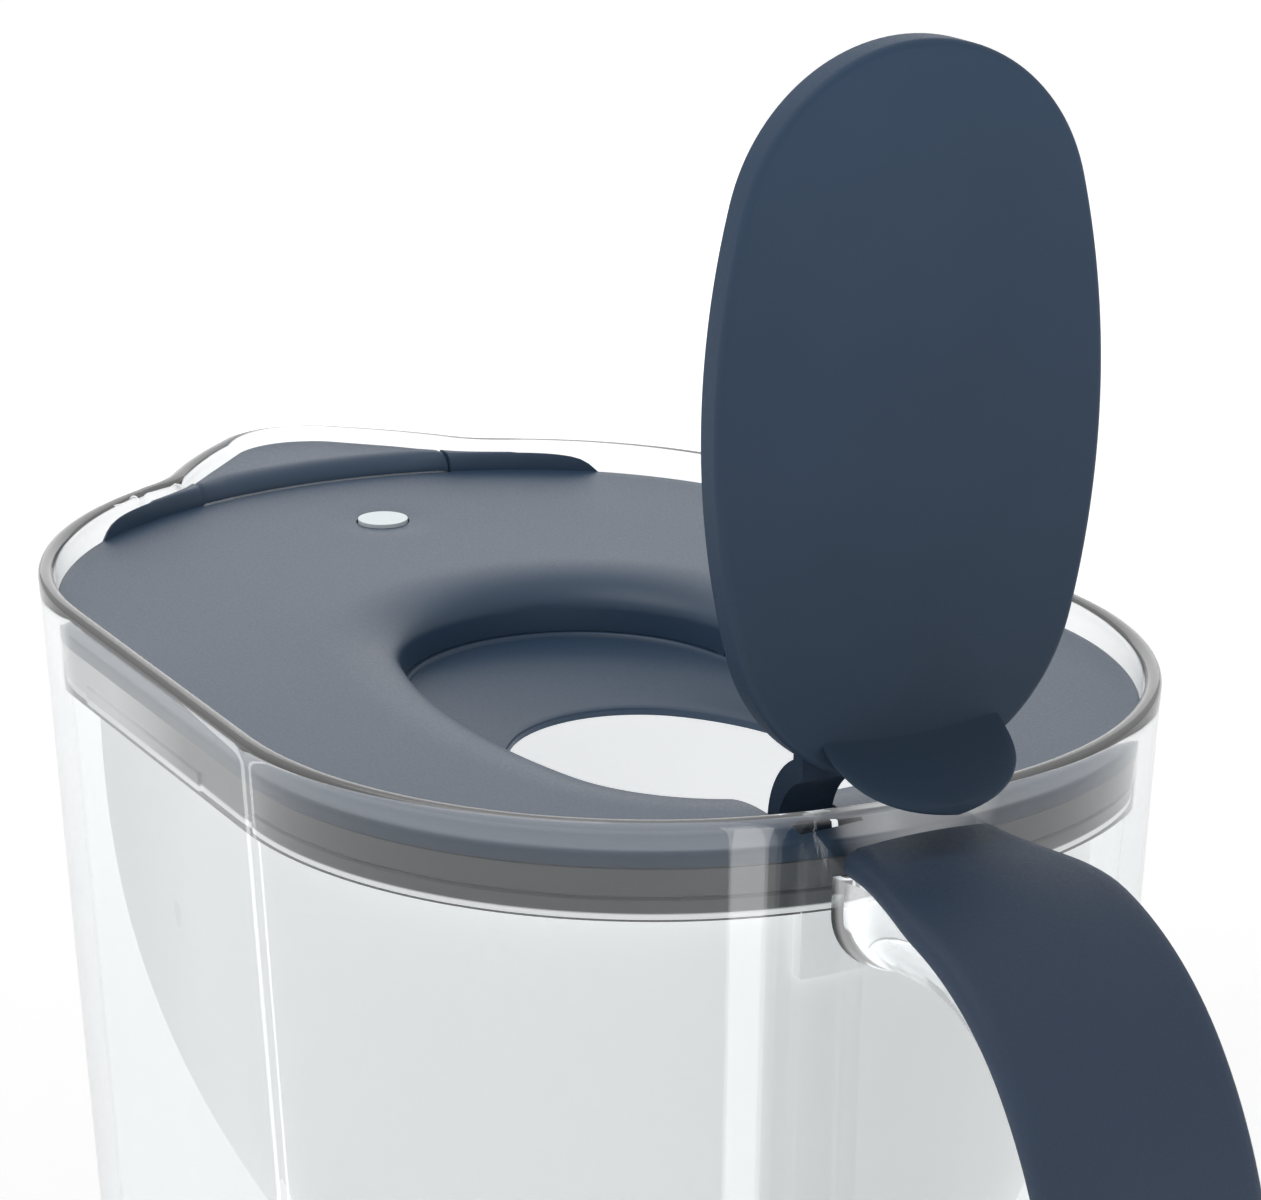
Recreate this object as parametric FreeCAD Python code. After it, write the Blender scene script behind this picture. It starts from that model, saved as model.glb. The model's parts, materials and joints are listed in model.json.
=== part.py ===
import FreeCAD, Part
import math
import os

from FreeCAD import Vector

# Water filter pitcher. Millimetres, +Z up, origin at the centre of the base on the table.
# The spout points to -X and the handle to +X. Levels called drop are measured down from the rim.

# Jug
RIM_Z = 265.0
HALF_WIDTH = 62.6
FRONT_REACH = 89.35
REAR_REACH = 89.35
FRONT_CORNER_INSET = 2.6
FRONT_NOSE_EXTRA = 7.0
REAR_CORNER_INSET = 4.6
REAR_NOSE_EXTRA = 18.0
DRAFT_DEG = 3.0
RIM_WALL = 2.2
WALL = 3.2
FLOOR = 3.4
FOOT_LIFT = 1.2
BOTTOM_ROUND = 7.0
LEDGE_DROP = 13.0

# Spout
SPOUT_LENGTH = 16.6
SPOUT_TIP_R = 14.0
SPOUT_ROOT_DEG = 151.2255
SPOUT_BLEND_R = 30.0
SPOUT_ROOT = 30.0
SPOUT_DROP = 60.0
SPOUT_SINK = 2.25

# Handle: arcs and a straight run in the middle plane, from the rim down and back to the jug
HANDLE_TOP_DROP = 4.3
HANDLE_TOP_RUN = 12.65
HANDLE_SHOULDER_R = 34.0
HANDLE_SHOULDER_DEG = 50.0
HANDLE_OUTER_R = 48.0
HANDLE_BACK_R = 150.0
HANDLE_BACK_DEG = 12.0
HANDLE_RUN = 58.0
HANDLE_LOWER_R = 30.0
HANDLE_WIDTH = 29.0
HANDLE_ROOT_WIDTH = 21.5
HANDLE_WIDEN_LENGTH = 22.0
GRIP_THICK = 4.2
CORE_WIDTH = 20.0
CORE_DEPTH = 11.0
CORE_ROUND = 7.5

# Base pad
PAD_THICK = 2.6
PAD_INSET = 9.0

# Funnel
FUNNEL_WALL = 1.8
COLLAR_DROP = 6.2
COLLAR_THICK = 1.5
FUNNEL_FIT = 0.4
HOPPER_FRONT_INSET = 14.35
HOPPER_REAR_INSET = 13.35
HOPPER_SIDE_INSET = 10.6
HOPPER_CORNER_INSET = 6.0
HOPPER_DROP = 92.0
HOPPER_FLOOR_REAR_INSET = 27.35
HOPPER_FLOOR_SIDE_INSET = 25.6
HOPPER_FLOOR_HALF_LENGTH = 42.0
HOPPER_FLOOR_CORNER_INSET = 3.0
POUR_WIDTH = 44.0
SOCKET_LENGTH = 18.0
BAY_WALL = 1.3
BAY_GAP = 1.0
BAY_DROP = 21.5
VENT_DEPTH = 2.4
VENT_PLACES = [(22.0, 17.0), (-32.0, 12.0)]

# Cartridge
CART_R = 26.0
CART_WALL = 1.6
CART_LENGTH = 108.0
CART_SLEEVE_FIT = 1.4
CART_FLANGE_R = 31.5
CART_FLANGE_THICK = 3.0
CART_CAP_HEIGHT = 11.0
CART_CAP_WALL = 1.8
CART_CAP_TOP_R = 17.0
CAP_SLOT_COUNT = 8
CAP_SLOT_WIDTH = 3.0
CAP_SLOT_LENGTH = 7.0
CAP_SLOT_R = 10.5
OUTLET_COUNT = 6
OUTLET_R = 2.6
OUTLET_RING_R = 14.0
SCREEN_THICK = 0.8
MEDIA_GAP = 0.3
PULL_R = 11.0
PULL_TUBE_R = 1.7
PULL_LEG = 4.0
SEAL_HEIGHT = 4.0
SEAL_DROP = 8.0
SEAL_FIT = 0.08

# Lid
LID_DROP = 4.3
LID_THICK = 1.9
LID_FIT = 0.5
RIDGE_DROP = 1.7
RIDGE_FRONT_INSET = 3.55
RIDGE_R = 66.1
RIDGE_SLOPE_RUN = 3.7
ROLL_WIDTH = 11.0
ROLL_DEPTH = 4.4
ROLL_STEPS = 6
HOLE_WALL_DROP = 11.8
LID_SKIN = 1.8
FLAP_EDGE_FIT = 0.6

# Lid basin: the dished shell under the fill hole
BASIN_HOLE_SHIFT = 9.2
BASIN_HOLE_HALF_LENGTH = 28.85
BASIN_HOLE_HALF_WIDTH = 22.0
BASIN_HOLE_END_R = 17.5
BASIN_HOLE_DROP = 16.8
BASIN_SKIN = 1.8
BASIN_RING_DROP = 9.2
SNAP_FIT = 0.05
SNAP_RISE = 0.6
SNAP_WIDTH = 5.0
SNAP_HEIGHT = 2.0
SNAP_PROUD = 0.3
SNAP_SPREAD = 25.0

# Fill flap, shown open and upright, drawn closed and then turned about its pivot
FLAP_HALF_LENGTH = 43.3
FLAP_HALF_WIDTH = 25.2
FLAP_END_R = 20.0
FLAP_STAND = 7.3
FLAP_FOOT_RISE = 1.8
FLAP_THICK = 4.6
PANEL_THICK = 2.4
PANEL_ROUND = 0.7
LINER_INSET = 1.2
PIVOT_INSET = 9.75
PIVOT_DROP = 13.5
PIN_R = 1.5
PIN_FIT = 0.05
EAR_WIDTH = 8.8
EAR_R = 2.6
ARM_GAP = 0.5
ARM_WIDTH = 7.5
ARM_THICK = 2.2
ARM_BARREL_R = 2.4
ARM_PAD_LENGTH = 11.0
ARM_BOW = 5.4
TAB_WIDTH = 23.0
TAB_REACH = 10.5
TAB_LEAN = 5.6
TAB_THICK = 2.6
TAB_ROOT = 4.6
TAB_OVERLAP = 0.6

# Spout flap, which the poured water lifts
SPOUT_FLAP_WIDTH = 41.4
SEAM = 0.15
SPOUT_FLAP_BACK_GAP = 0.6
SPOUT_FLAP_WALL_GAP = 0.9
SPOUT_FLAP_THICK = 4.2
SPOUT_PIN_INSET = 7.35
SPOUT_PIN_DROP = 5.25
SPOUT_PIN_R = 0.6
SPOUT_PIN_LENGTH = 1.6
SPOUT_PIN_ENGAGE = 1.5
SPOUT_LUG_R = 0.95
SPOUT_LUG_FIT = 0.25

# Change indicator under the lid
INDICATOR_INSET = 27.25
DISC_R = 3.7
DISC_PROUD = 0.2
DISC_FIT = 0.12
DISC_COLLAR_R = 4.6
DISC_COLLAR_THICK = 0.9
DISC_COLLAR_GAP = 0.3
DISC_TRAVEL = 0.6
STEM_R = 1.4
POD_SHIFT = 8.6
POD_LENGTH = 30.0
POD_WIDTH = 24.0
POD_WALL = 1.5
POD_DEPTH = 11.6
BOARD_DROP = 12.4
BOARD_THICK = 1.0
BOARD_GAP = 0.2
SWITCH_SIDE = 6.0
SWITCH_BODY_HEIGHT = 1.7
PLUNGER_R = 1.7
LAMP_SIDE = 2.0
LAMP_HEIGHT = 1.0
LAMP_STEP = 5.0
CELL_R = 10.0
CELL_THICK = 1.6
CLIP_THICK = 0.4
CLIP_WIDTH = 7.0
DOOR_THICK = 1.6
DOOR_SCREW_R = 1.0
DOOR_SCREW_HEAD_R = 1.9
DOOR_SCREW_HEAD = 0.9
DOOR_SCREW_INSET = 3.2
DOOR_SCREW_TIP_GAP = 1.0
DOOR_BOSS_R = 2.4

# One overrun for every cut, and how near two levels are to count as the same
OVERRUN = 2.0
SAME_LEVEL = 0.05

# Values that follow from the sizes above
DRAFT = math.tan(math.radians(DRAFT_DEG))
SLANT = DRAFT + (SPOUT_LENGTH + SPOUT_SINK) / SPOUT_DROP
SPOUT_REACH = FRONT_REACH + SPOUT_LENGTH
CENTRE = Vector(0, 0, 0)
UP = Vector(0, 0, 1)
ALONG_X = Vector(1, 0, 0)
ALONG_Y = Vector(0, 1, 0)
LEDGE_Z = RIM_Z - LEDGE_DROP
COLLAR_Z = RIM_Z - COLLAR_DROP
LID_Z = RIM_Z - LID_DROP
LID_UNDER_Z = LID_Z - LID_THICK
RIDGE_Z = RIM_Z - RIDGE_DROP
HOPPER_Z = RIM_Z - HOPPER_DROP
PIVOT_Z = RIM_Z - PIVOT_DROP
PIVOT_X = REAR_REACH - PIVOT_INSET
FLAP_Z = PIVOT_Z + FLAP_STAND
FLAP_REAR_X = PIVOT_X - PIVOT_DROP - FLAP_FOOT_RISE
FLAP_X = FLAP_REAR_X - FLAP_HALF_LENGTH
HOLE_HALF_LENGTH = FLAP_HALF_LENGTH + FLAP_EDGE_FIT
HOLE_HALF_WIDTH = FLAP_HALF_WIDTH + FLAP_EDGE_FIT
HOLE_END_R = FLAP_END_R + FLAP_EDGE_FIT
HOLE_WALL_Z = RIM_Z - HOLE_WALL_DROP
COLLAR_INSET = RIM_WALL + FUNNEL_FIT
LID_INSET = RIM_WALL + LID_FIT
BASIN_HOLE_X = FLAP_X + BASIN_HOLE_SHIFT
HOPPER_X = (REAR_REACH - HOPPER_REAR_INSET - FRONT_REACH + HOPPER_FRONT_INSET) / 2
HOPPER_HALF_LENGTH = REAR_REACH - HOPPER_REAR_INSET - HOPPER_X
HOPPER_HALF_WIDTH = HALF_WIDTH - HOPPER_SIDE_INSET
HOPPER_END_R = HOPPER_HALF_WIDTH - HOPPER_CORNER_INSET
HOPPER_FLOOR_X = REAR_REACH - HOPPER_FLOOR_REAR_INSET - HOPPER_FLOOR_HALF_LENGTH
HOPPER_FLOOR_HALF_WIDTH = HALF_WIDTH - HOPPER_FLOOR_SIDE_INSET
HOPPER_FLOOR_END_R = HOPPER_FLOOR_HALF_WIDTH - HOPPER_FLOOR_CORNER_INSET
CART_X = HOPPER_FLOOR_X
RIDGE_X = RIDGE_R + RIDGE_FRONT_INSET - FRONT_REACH
SPOUT_PIN_X = SPOUT_PIN_INSET - FRONT_REACH
INDICATOR_X = INDICATOR_INSET - FRONT_REACH
POD_X = INDICATOR_X + POD_SHIFT
BOARD_Z = RIM_Z - BOARD_DROP
POD_Z = LID_UNDER_Z - POD_DEPTH
ARM_INNER_Y = EAR_WIDTH / 2 + ARM_GAP
ARM_OUTER_Y = ARM_INNER_Y + ARM_WIDTH


def arc(start, middle, end):
    return Part.Arc(start, middle, end).toShape()


def line(start, end):
    return Part.LineSegment(start, end).toShape()


def around(x, y, radius, degrees, z):
    turn = math.radians(degrees)
    return Vector(x + radius * math.cos(turn), y + radius * math.sin(turn), z)


def bearing(from_x, from_y, to_x, to_y):
    return math.degrees(math.atan2(to_y - from_y, to_x - from_x))


def turn_arc(x, y, radius, start_deg, end_deg, z):
    """An arc of a circle in a level plane, from one bearing to another."""
    middle_deg = (start_deg + end_deg) / 2
    return arc(*[around(x, y, radius, a, z) for a in (start_deg, middle_deg, end_deg)])


def prism(wire, height):
    return Part.Face(wire).extrude(UP * height)


def frustum(lower, upper):
    return Part.makeLoft([lower, upper], True, True)


def box(x0, x1, y0, y1, z0, z1):
    return Part.makeBox(x1 - x0, y1 - y0, z1 - z0, Vector(x0, y0, z0))


def disc(x, y, z0, z1, radius):
    return Part.makeCylinder(radius, z1 - z0, Vector(x, y, z0), UP)


def ring(x, y, z0, z1, outer, inner):
    return disc(x, y, z0, z1, outer).cut(disc(x, y, z0 - OVERRUN, z1 + OVERRUN, inner))


def pin(x, z, y0, y1, radius):
    return Part.makeCylinder(radius, y1 - y0, Vector(x, y0, z), ALONG_Y)


def mirrored(shape):
    """The same shape on the other side of the middle plane."""
    return shape.mirror(CENTRE, ALONG_Y)


def both_sides(shape):
    return [shape, mirrored(shape)]


def end_of_oval(reach, corner_inset, nose_extra):
    """Corner radius, nose radius and the two centres of an end that points along +X."""
    corner_r = HALF_WIDTH - corner_inset
    nose_r = corner_r + nose_extra
    nose_x = reach - nose_r
    corner_x = nose_x + math.sqrt(nose_extra ** 2 - corner_inset ** 2)
    return corner_r, nose_r, nose_x, corner_x


REAR = end_of_oval(REAR_REACH, REAR_CORNER_INSET, REAR_NOSE_EXTRA)
FRONT = end_of_oval(FRONT_REACH, FRONT_CORNER_INSET, FRONT_NOSE_EXTRA)


def oval(inset, z):
    """The jug's outline without its spout, moved in by an inset: sides, corner arcs and nose arcs."""
    corner_r, nose_r, nose_x, corner_x = REAR
    f_corner_r, f_nose_r, f_nose_x, f_corner_x = FRONT
    tip = bearing(nose_x, 0, corner_x, REAR_CORNER_INSET)
    f_tip = 180 - bearing(f_nose_x, 0, f_corner_x, FRONT_CORNER_INSET)
    side = HALF_WIDTH - inset
    right = Vector(corner_x, side, z)
    left = Vector(-f_corner_x, side, z)
    upper = [
        turn_arc(corner_x, REAR_CORNER_INSET, corner_r - inset, tip, 90, z),
        line(right, left),
        turn_arc(-f_corner_x, FRONT_CORNER_INSET, f_corner_r - inset, 90, f_tip, z),
    ]
    front = turn_arc(-f_nose_x, 0, f_nose_r - inset, f_tip, 360 - f_tip, z)
    lower = [
        turn_arc(-f_corner_x, -FRONT_CORNER_INSET, f_corner_r - inset, 360 - f_tip, 270, z),
        line(Vector(-f_corner_x, -side, z), Vector(corner_x, -side, z)),
        turn_arc(corner_x, -REAR_CORNER_INSET, corner_r - inset, 270, 360 - tip, z),
    ]
    rear = turn_arc(nose_x, 0, nose_r - inset, -tip, tip, z)
    return Part.Wire(upper + [front] + lower + [rear])


def spout_blend():
    """Centre of the hollow arc beside a spout flank, and the bearing that the flank faces."""
    corner = around(-FRONT[3], FRONT_CORNER_INSET, FRONT[0] + SPOUT_BLEND_R, SPOUT_ROOT_DEG, 0)
    tip_x = SPOUT_TIP_R - SPOUT_REACH
    apart = math.hypot(corner.x - tip_x, corner.y)
    lean = math.degrees(math.acos((SPOUT_TIP_R + SPOUT_BLEND_R) / apart))
    return corner, bearing(tip_x, 0, corner.x, corner.y) + lean


def spout_outline(inset, z):
    """Plan of the spout at a level: it slides towards the jug as it goes down."""
    shift = (RIM_Z - z) * SLANT
    blend, out_deg = spout_blend()
    tip_x = SPOUT_TIP_R - SPOUT_REACH
    corner_deg = SPOUT_ROOT_DEG - 180
    flank_deg = out_deg - 180
    tip_top = around(tip_x, 0, SPOUT_TIP_R - inset, out_deg, z)
    blend_arc = turn_arc(blend.x, blend.y, SPOUT_BLEND_R + inset, corner_deg, flank_deg, z)
    flank_end = around(blend.x, blend.y, SPOUT_BLEND_R + inset, flank_deg, z)
    corner_end = around(blend.x, blend.y, SPOUT_BLEND_R + inset, corner_deg, z)
    half = [blend_arc, line(flank_end, tip_top)]
    other = [edge.mirror(CENTRE, ALONG_Y) for edge in half]
    tip = turn_arc(tip_x, 0, SPOUT_TIP_R - inset, out_deg, 360 - out_deg, z)
    back = Vector(corner_end.x + SPOUT_ROOT, 0, z)
    low_end = Vector(corner_end.x, -corner_end.y, z)
    closing = [line(low_end, back), line(back, corner_end)]
    wire = Part.Wire(Part.__sortEdges__(half + [tip] + other + closing))
    return wire.translated(Vector(shift, 0, 0))


def spout_body(inset, z_top, z_bottom):
    fall = z_top - z_bottom
    return Part.Face(spout_outline(inset, z_top)).extrude(Vector(fall * SLANT, 0, -fall))


def oval_body(inset, z_top, z_bottom):
    lower = oval(inset + (RIM_Z - z_bottom) * DRAFT, z_bottom)
    upper = oval(inset + (RIM_Z - z_top) * DRAFT, z_top)
    return frustum(lower, upper)


def jug_form(inset, z_top, z_bottom):
    """What fills the jug between two levels, spout included."""
    return oval_body(inset, z_top, z_bottom).fuse(spout_body(inset, z_top, z_bottom))


def egg(x, half_length, half_width, end_r, grow, z):
    """A long round outline of four tangent arcs, grown by an even margin."""
    end_x = half_length - end_r
    side_r = (end_x ** 2 + half_width ** 2 - end_r ** 2) / (2 * (half_width - end_r))
    below = half_width - side_r
    tip = bearing(0, below, end_x, 0)
    rear = turn_arc(x + end_x, 0, end_r + grow, -tip, tip, z)
    top = turn_arc(x, below, side_r + grow, tip, 180 - tip, z)
    front = turn_arc(x - end_x, 0, end_r + grow, 180 - tip, 180 + tip, z)
    bottom = turn_arc(x, -below, side_r + grow, 180 + tip, 360 - tip, z)
    return Part.Wire([rear, top, front, bottom])


def hole_outline(grow, z):
    return egg(FLAP_X, HOLE_HALF_LENGTH, HOLE_HALF_WIDTH, HOLE_END_R, grow, z)


def flap_outline(grow, z):
    return egg(FLAP_X, FLAP_HALF_LENGTH, FLAP_HALF_WIDTH, FLAP_END_R, grow, z)


def basin_hole(grow, z):
    return egg(BASIN_HOLE_X, BASIN_HOLE_HALF_LENGTH, BASIN_HOLE_HALF_WIDTH, BASIN_HOLE_END_R, grow, z)


def hopper_top(grow, z):
    return egg(HOPPER_X, HOPPER_HALF_LENGTH, HOPPER_HALF_WIDTH, HOPPER_END_R, grow, z)


def hopper_floor(grow, z):
    return egg(HOPPER_FLOOR_X, HOPPER_FLOOR_HALF_LENGTH, HOPPER_FLOOR_HALF_WIDTH,
               HOPPER_FLOOR_END_R, grow, z)


def edges_at(shape, z):
    return [e for e in shape.Edges if all(abs(v.Point.z - z) < SAME_LEVEL for v in e.Vertexes)]


# Handle

def in_plane(x, z):
    return Vector(x, 0, z)


def plane_arc(x, z, radius, start_deg, end_deg):
    angles = [math.radians(a) for a in (start_deg, (start_deg + end_deg) / 2, end_deg)]
    return arc(*[in_plane(x + radius * math.cos(a), z + radius * math.sin(a)) for a in angles])


def handle_line(depth):
    """Edges of the handle's outer line in the middle plane, moved in by a depth, from top to bottom."""
    top_z = RIM_Z - HANDLE_TOP_DROP
    shoulder_x = REAR_REACH + HANDLE_TOP_RUN
    shoulder_z = top_z - HANDLE_SHOULDER_R
    turn = math.radians(90 - HANDLE_SHOULDER_DEG)
    shift = HANDLE_SHOULDER_R - HANDLE_OUTER_R
    outer_x = shoulder_x + shift * math.cos(turn)
    outer_z = shoulder_z + shift * math.sin(turn)
    back_x = outer_x + HANDLE_OUTER_R - HANDLE_BACK_R
    lean = math.radians(HANDLE_BACK_DEG)
    run = Vector(-math.sin(lean), 0, -math.cos(lean)) * HANDLE_RUN
    foot_x = back_x + (HANDLE_BACK_R - HANDLE_LOWER_R) * math.cos(lean) + run.x
    foot_z = outer_z - (HANDLE_BACK_R - HANDLE_LOWER_R) * math.sin(lean) + run.z
    inside_x = REAR_REACH - WALL - (RIM_Z - foot_z + HANDLE_LOWER_R) * DRAFT
    arcs = [
        plane_arc(shoulder_x, shoulder_z, HANDLE_SHOULDER_R - depth, 90, 90 - HANDLE_SHOULDER_DEG),
        plane_arc(outer_x, outer_z, HANDLE_OUTER_R - depth, 90 - HANDLE_SHOULDER_DEG, 0),
        plane_arc(back_x, outer_z, HANDLE_BACK_R - depth, 0, -HANDLE_BACK_DEG),
    ]
    lower = plane_arc(foot_x, foot_z, HANDLE_LOWER_R - depth, -HANDLE_BACK_DEG, -90)
    start = in_plane(inside_x, top_z - depth)
    end = in_plane(inside_x, foot_z - HANDLE_LOWER_R + depth)
    lead = line(start, arcs[0].valueAt(arcs[0].FirstParameter))
    straight = line(arcs[2].valueAt(arcs[2].LastParameter), lower.valueAt(lower.FirstParameter))
    tail = line(lower.valueAt(lower.LastParameter), end)
    return [lead] + arcs + [straight, lower, tail], start, end


def handle_bar(outer_depth, inner_depth, width):
    outer, outer_start, outer_end = handle_line(outer_depth)
    inner, inner_start, inner_end = handle_line(inner_depth)
    closing = [line(outer_start, inner_start), line(outer_end, inner_end)]
    profile = Part.Wire(Part.__sortEdges__(outer + inner + closing))
    bar = Part.Face(profile).extrude(ALONG_Y * width)
    return bar.translated(ALONG_Y * (-width / 2))


def handle_plan():
    """Keeps the handle narrow at the jug and lets it widen on its way out."""
    near = REAR_REACH / 2
    wide = REAR_REACH + HANDLE_WIDEN_LENGTH
    far = wide + HANDLE_OUTER_R * 2
    root, full = HANDLE_ROOT_WIDTH / 2, HANDLE_WIDTH / 2
    points = [(near, -root), (REAR_REACH, -root), (wide, -full), (far, -full),
              (far, full), (wide, full), (REAR_REACH, root), (near, root), (near, -root)]
    plan = Part.makePolygon([Vector(x, y, 0) for x, y in points])
    return prism(plan, RIM_Z)


def outer_jug():
    body = oval_body(0, RIM_Z, FOOT_LIFT)
    body = body.makeFillet(BOTTOM_ROUND, edges_at(body, FOOT_LIFT))
    return body.fuse(spout_body(0, RIM_Z, RIM_Z - SPOUT_DROP))


def handle_core():
    """The clear bar under the grip, with a rounded keel towards the fingers."""
    bar = handle_bar(GRIP_THICK, GRIP_THICK + CORE_DEPTH, CORE_WIDTH)
    keel = Part.Wire(handle_line(GRIP_THICK + CORE_DEPTH)[0])
    long_edges = [e for e in bar.Edges if e.BoundBox.YLength < SAME_LEVEL]
    beside = CORE_WIDTH / 2 + SAME_LEVEL
    keel_edges = [e for e in long_edges if all(v.distToShape(keel)[0] < beside for v in e.Vertexes)]
    return bar.makeFillet(CORE_ROUND, keel_edges)


def jug_body(outer):
    cavity_floor = FOOT_LIFT + FLOOR
    solid = outer.fuse(handle_core())
    inside = oval_body(WALL, LEDGE_Z, cavity_floor)
    inside = inside.makeFillet(BOTTOM_ROUND - WALL, edges_at(inside, cavity_floor))
    solid = solid.cut(inside)
    solid = solid.cut(jug_form(RIM_WALL, RIM_Z + OVERRUN, LEDGE_Z))
    solid = solid.cut(spout_body(RIM_WALL, LEDGE_Z + OVERRUN, RIM_Z - SPOUT_DROP))
    recess = prism(oval(PAD_INSET + RIM_Z * DRAFT, FOOT_LIFT - OVERRUN), OVERRUN + PAD_THICK - FOOT_LIFT)
    return solid.cut(recess).removeSplitter()


def handle_grip(outer):
    bar = handle_bar(0, GRIP_THICK, HANDLE_WIDTH)
    grip = bar.common(handle_plan())
    return grip.cut(outer).removeSplitter()


def base_pad():
    return prism(oval(PAD_INSET + RIM_Z * DRAFT, 0), PAD_THICK)


# Funnel

def hinge_bay(inset, wall, z_top):
    """A pocket behind the hopper where the flap's arms swing."""
    half = ARM_OUTER_Y + BAY_GAP + BAY_WALL - wall
    z_low = RIM_Z - BAY_DROP + wall
    room = box(HOPPER_X, REAR_REACH, -half, half, z_low, z_top)
    return oval_body(inset, z_top, z_low).common(room)


def funnel():
    collar = oval_body(COLLAR_INSET, COLLAR_Z, LEDGE_Z)
    collar = collar.cut(oval_body(COLLAR_INSET + COLLAR_THICK, COLLAR_Z + OVERRUN, LEDGE_Z + FUNNEL_WALL))
    hopper = frustum(hopper_floor(FUNNEL_WALL, HOPPER_Z - FUNNEL_WALL), hopper_top(FUNNEL_WALL, LEDGE_Z))
    sleeve_r = CART_R + CART_SLEEVE_FIT
    socket_z = HOPPER_Z - FUNNEL_WALL - SOCKET_LENGTH
    sleeve = disc(CART_X, 0, socket_z, HOPPER_Z, sleeve_r + FUNNEL_WALL)
    bay_inset = WALL + FUNNEL_FIT
    solid = collar.fuse([hopper, sleeve, hinge_bay(bay_inset, 0, LEDGE_Z)])
    inside_top = hopper_top(0, LEDGE_Z)
    solid = solid.cut(frustum(hopper_floor(0, HOPPER_Z), inside_top))
    solid = solid.cut(hinge_bay(bay_inset + BAY_WALL, BAY_WALL, COLLAR_Z))
    solid = solid.cut(prism(inside_top, FUNNEL_WALL + OVERRUN))
    solid = solid.cut(disc(CART_X, 0, socket_z - OVERRUN, HOPPER_Z + OVERRUN, sleeve_r))
    half_pour = POUR_WIDTH / 2
    pour = box(-SPOUT_REACH, HOPPER_X - HOPPER_HALF_LENGTH / 2, -half_pour, half_pour,
               LEDGE_Z - OVERRUN, COLLAR_Z + OVERRUN)
    solid = solid.cut(pour.cut(prism(hopper_top(FUNNEL_WALL, LEDGE_Z - OVERRUN), LEDGE_DROP)))
    for x, length in VENT_PLACES:
        vent = box(x - length / 2, x + length / 2, -HALF_WIDTH, HALF_WIDTH,
                   COLLAR_Z - VENT_DEPTH, COLLAR_Z + OVERRUN)
        solid = solid.cut(vent)
    return solid.removeSplitter()


# Cartridge

def cartridge_pieces():
    flange_z = HOPPER_Z + CART_FLANGE_THICK
    shell_bottom = HOPPER_Z - CART_LENGTH
    inside_r = CART_R - CART_WALL
    shell = disc(CART_X, 0, shell_bottom, HOPPER_Z, CART_R)
    shell = shell.fuse(disc(CART_X, 0, HOPPER_Z, flange_z, CART_FLANGE_R))
    shell = shell.cut(disc(CART_X, 0, shell_bottom + CART_WALL, flange_z + OVERRUN, inside_r))
    outlet_top = shell_bottom + CART_WALL + OVERRUN
    for i in range(OUTLET_COUNT):
        spot = around(CART_X, 0, OUTLET_RING_R, 360 * i / OUTLET_COUNT, 0)
        shell = shell.cut(disc(spot.x, spot.y, shell_bottom - OVERRUN, outlet_top, OUTLET_R))
    seat_z = HOPPER_Z - FUNNEL_WALL - SEAL_DROP
    seal = ring(CART_X, 0, seat_z - SEAL_HEIGHT, seat_z, CART_R + CART_SLEEVE_FIT - SEAL_FIT, CART_R)
    cap_top = flange_z + CART_CAP_HEIGHT
    base = Vector(CART_X, 0, flange_z)
    cap = Part.makeCone(CART_R, CART_CAP_TOP_R, CART_CAP_HEIGHT, base, UP)
    hollow = Part.makeCone(CART_R - CART_CAP_WALL, CART_CAP_TOP_R - CART_CAP_WALL,
                           CART_CAP_HEIGHT - CART_CAP_WALL, base, UP)
    cap = cap.cut(hollow)
    for i in range(CAP_SLOT_COUNT):
        half = CAP_SLOT_WIDTH / 2
        slot = box(CAP_SLOT_R - CAP_SLOT_LENGTH / 2, CAP_SLOT_R + CAP_SLOT_LENGTH / 2, -half, half,
                   cap_top - CART_CAP_WALL - OVERRUN, cap_top + OVERRUN)
        slot.rotate(CENTRE, UP, 360 * (i + 0.5) / CAP_SLOT_COUNT)
        cap = cap.cut(slot.translated(Vector(CART_X, 0, 0)))
    bow = Part.makeTorus(PULL_R, PULL_TUBE_R, Vector(CART_X, 0, cap_top + PULL_LEG), ALONG_Y)
    bow = bow.common(box(CART_X - PULL_R * 2, CART_X + PULL_R * 2, -PULL_R, PULL_R,
                         cap_top + PULL_LEG, cap_top + PULL_LEG + PULL_R * 2))
    legs = [disc(CART_X + side * PULL_R, 0, cap_top, cap_top + PULL_LEG, PULL_TUBE_R) for side in (-1, 1)]
    pull = bow.fuse(legs).removeSplitter()
    low_z = shell_bottom + CART_WALL
    screen_r = inside_r - MEDIA_GAP
    lower_screen = disc(CART_X, 0, low_z, low_z + SCREEN_THICK, screen_r)
    upper_screen = disc(CART_X, 0, flange_z - SCREEN_THICK, flange_z, screen_r)
    media = disc(CART_X, 0, low_z + SCREEN_THICK, flange_z - SCREEN_THICK, screen_r)
    return {"cartridge_shell": shell, "cartridge_seal": seal, "cartridge_cap": cap,
            "cartridge_pull_loop": pull, "cartridge_lower_screen": lower_screen,
            "cartridge_upper_screen": upper_screen, "filter_media": media}


# Lid

def roll(grow):
    """The soft lip of the fill hole as a stack of outlines, from the lid's top down to its hole wall."""
    wires = []
    for i in range(ROLL_STEPS + 1):
        turn = math.pi / 2 * i / ROLL_STEPS
        out = ROLL_WIDTH * (1 - math.sin(turn))
        down = ROLL_DEPTH * (1 - math.cos(turn))
        wires.append(hole_outline(grow + out, LID_Z - down))
    solid = frustum(wires[1], wires[0])
    for upper, lower in zip(wires[1:], wires[2:]):
        solid = solid.fuse(frustum(lower, upper))
    return solid.fuse(prism(hole_outline(grow, HOLE_WALL_Z), LID_Z - ROLL_DEPTH - HOLE_WALL_Z))


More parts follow.
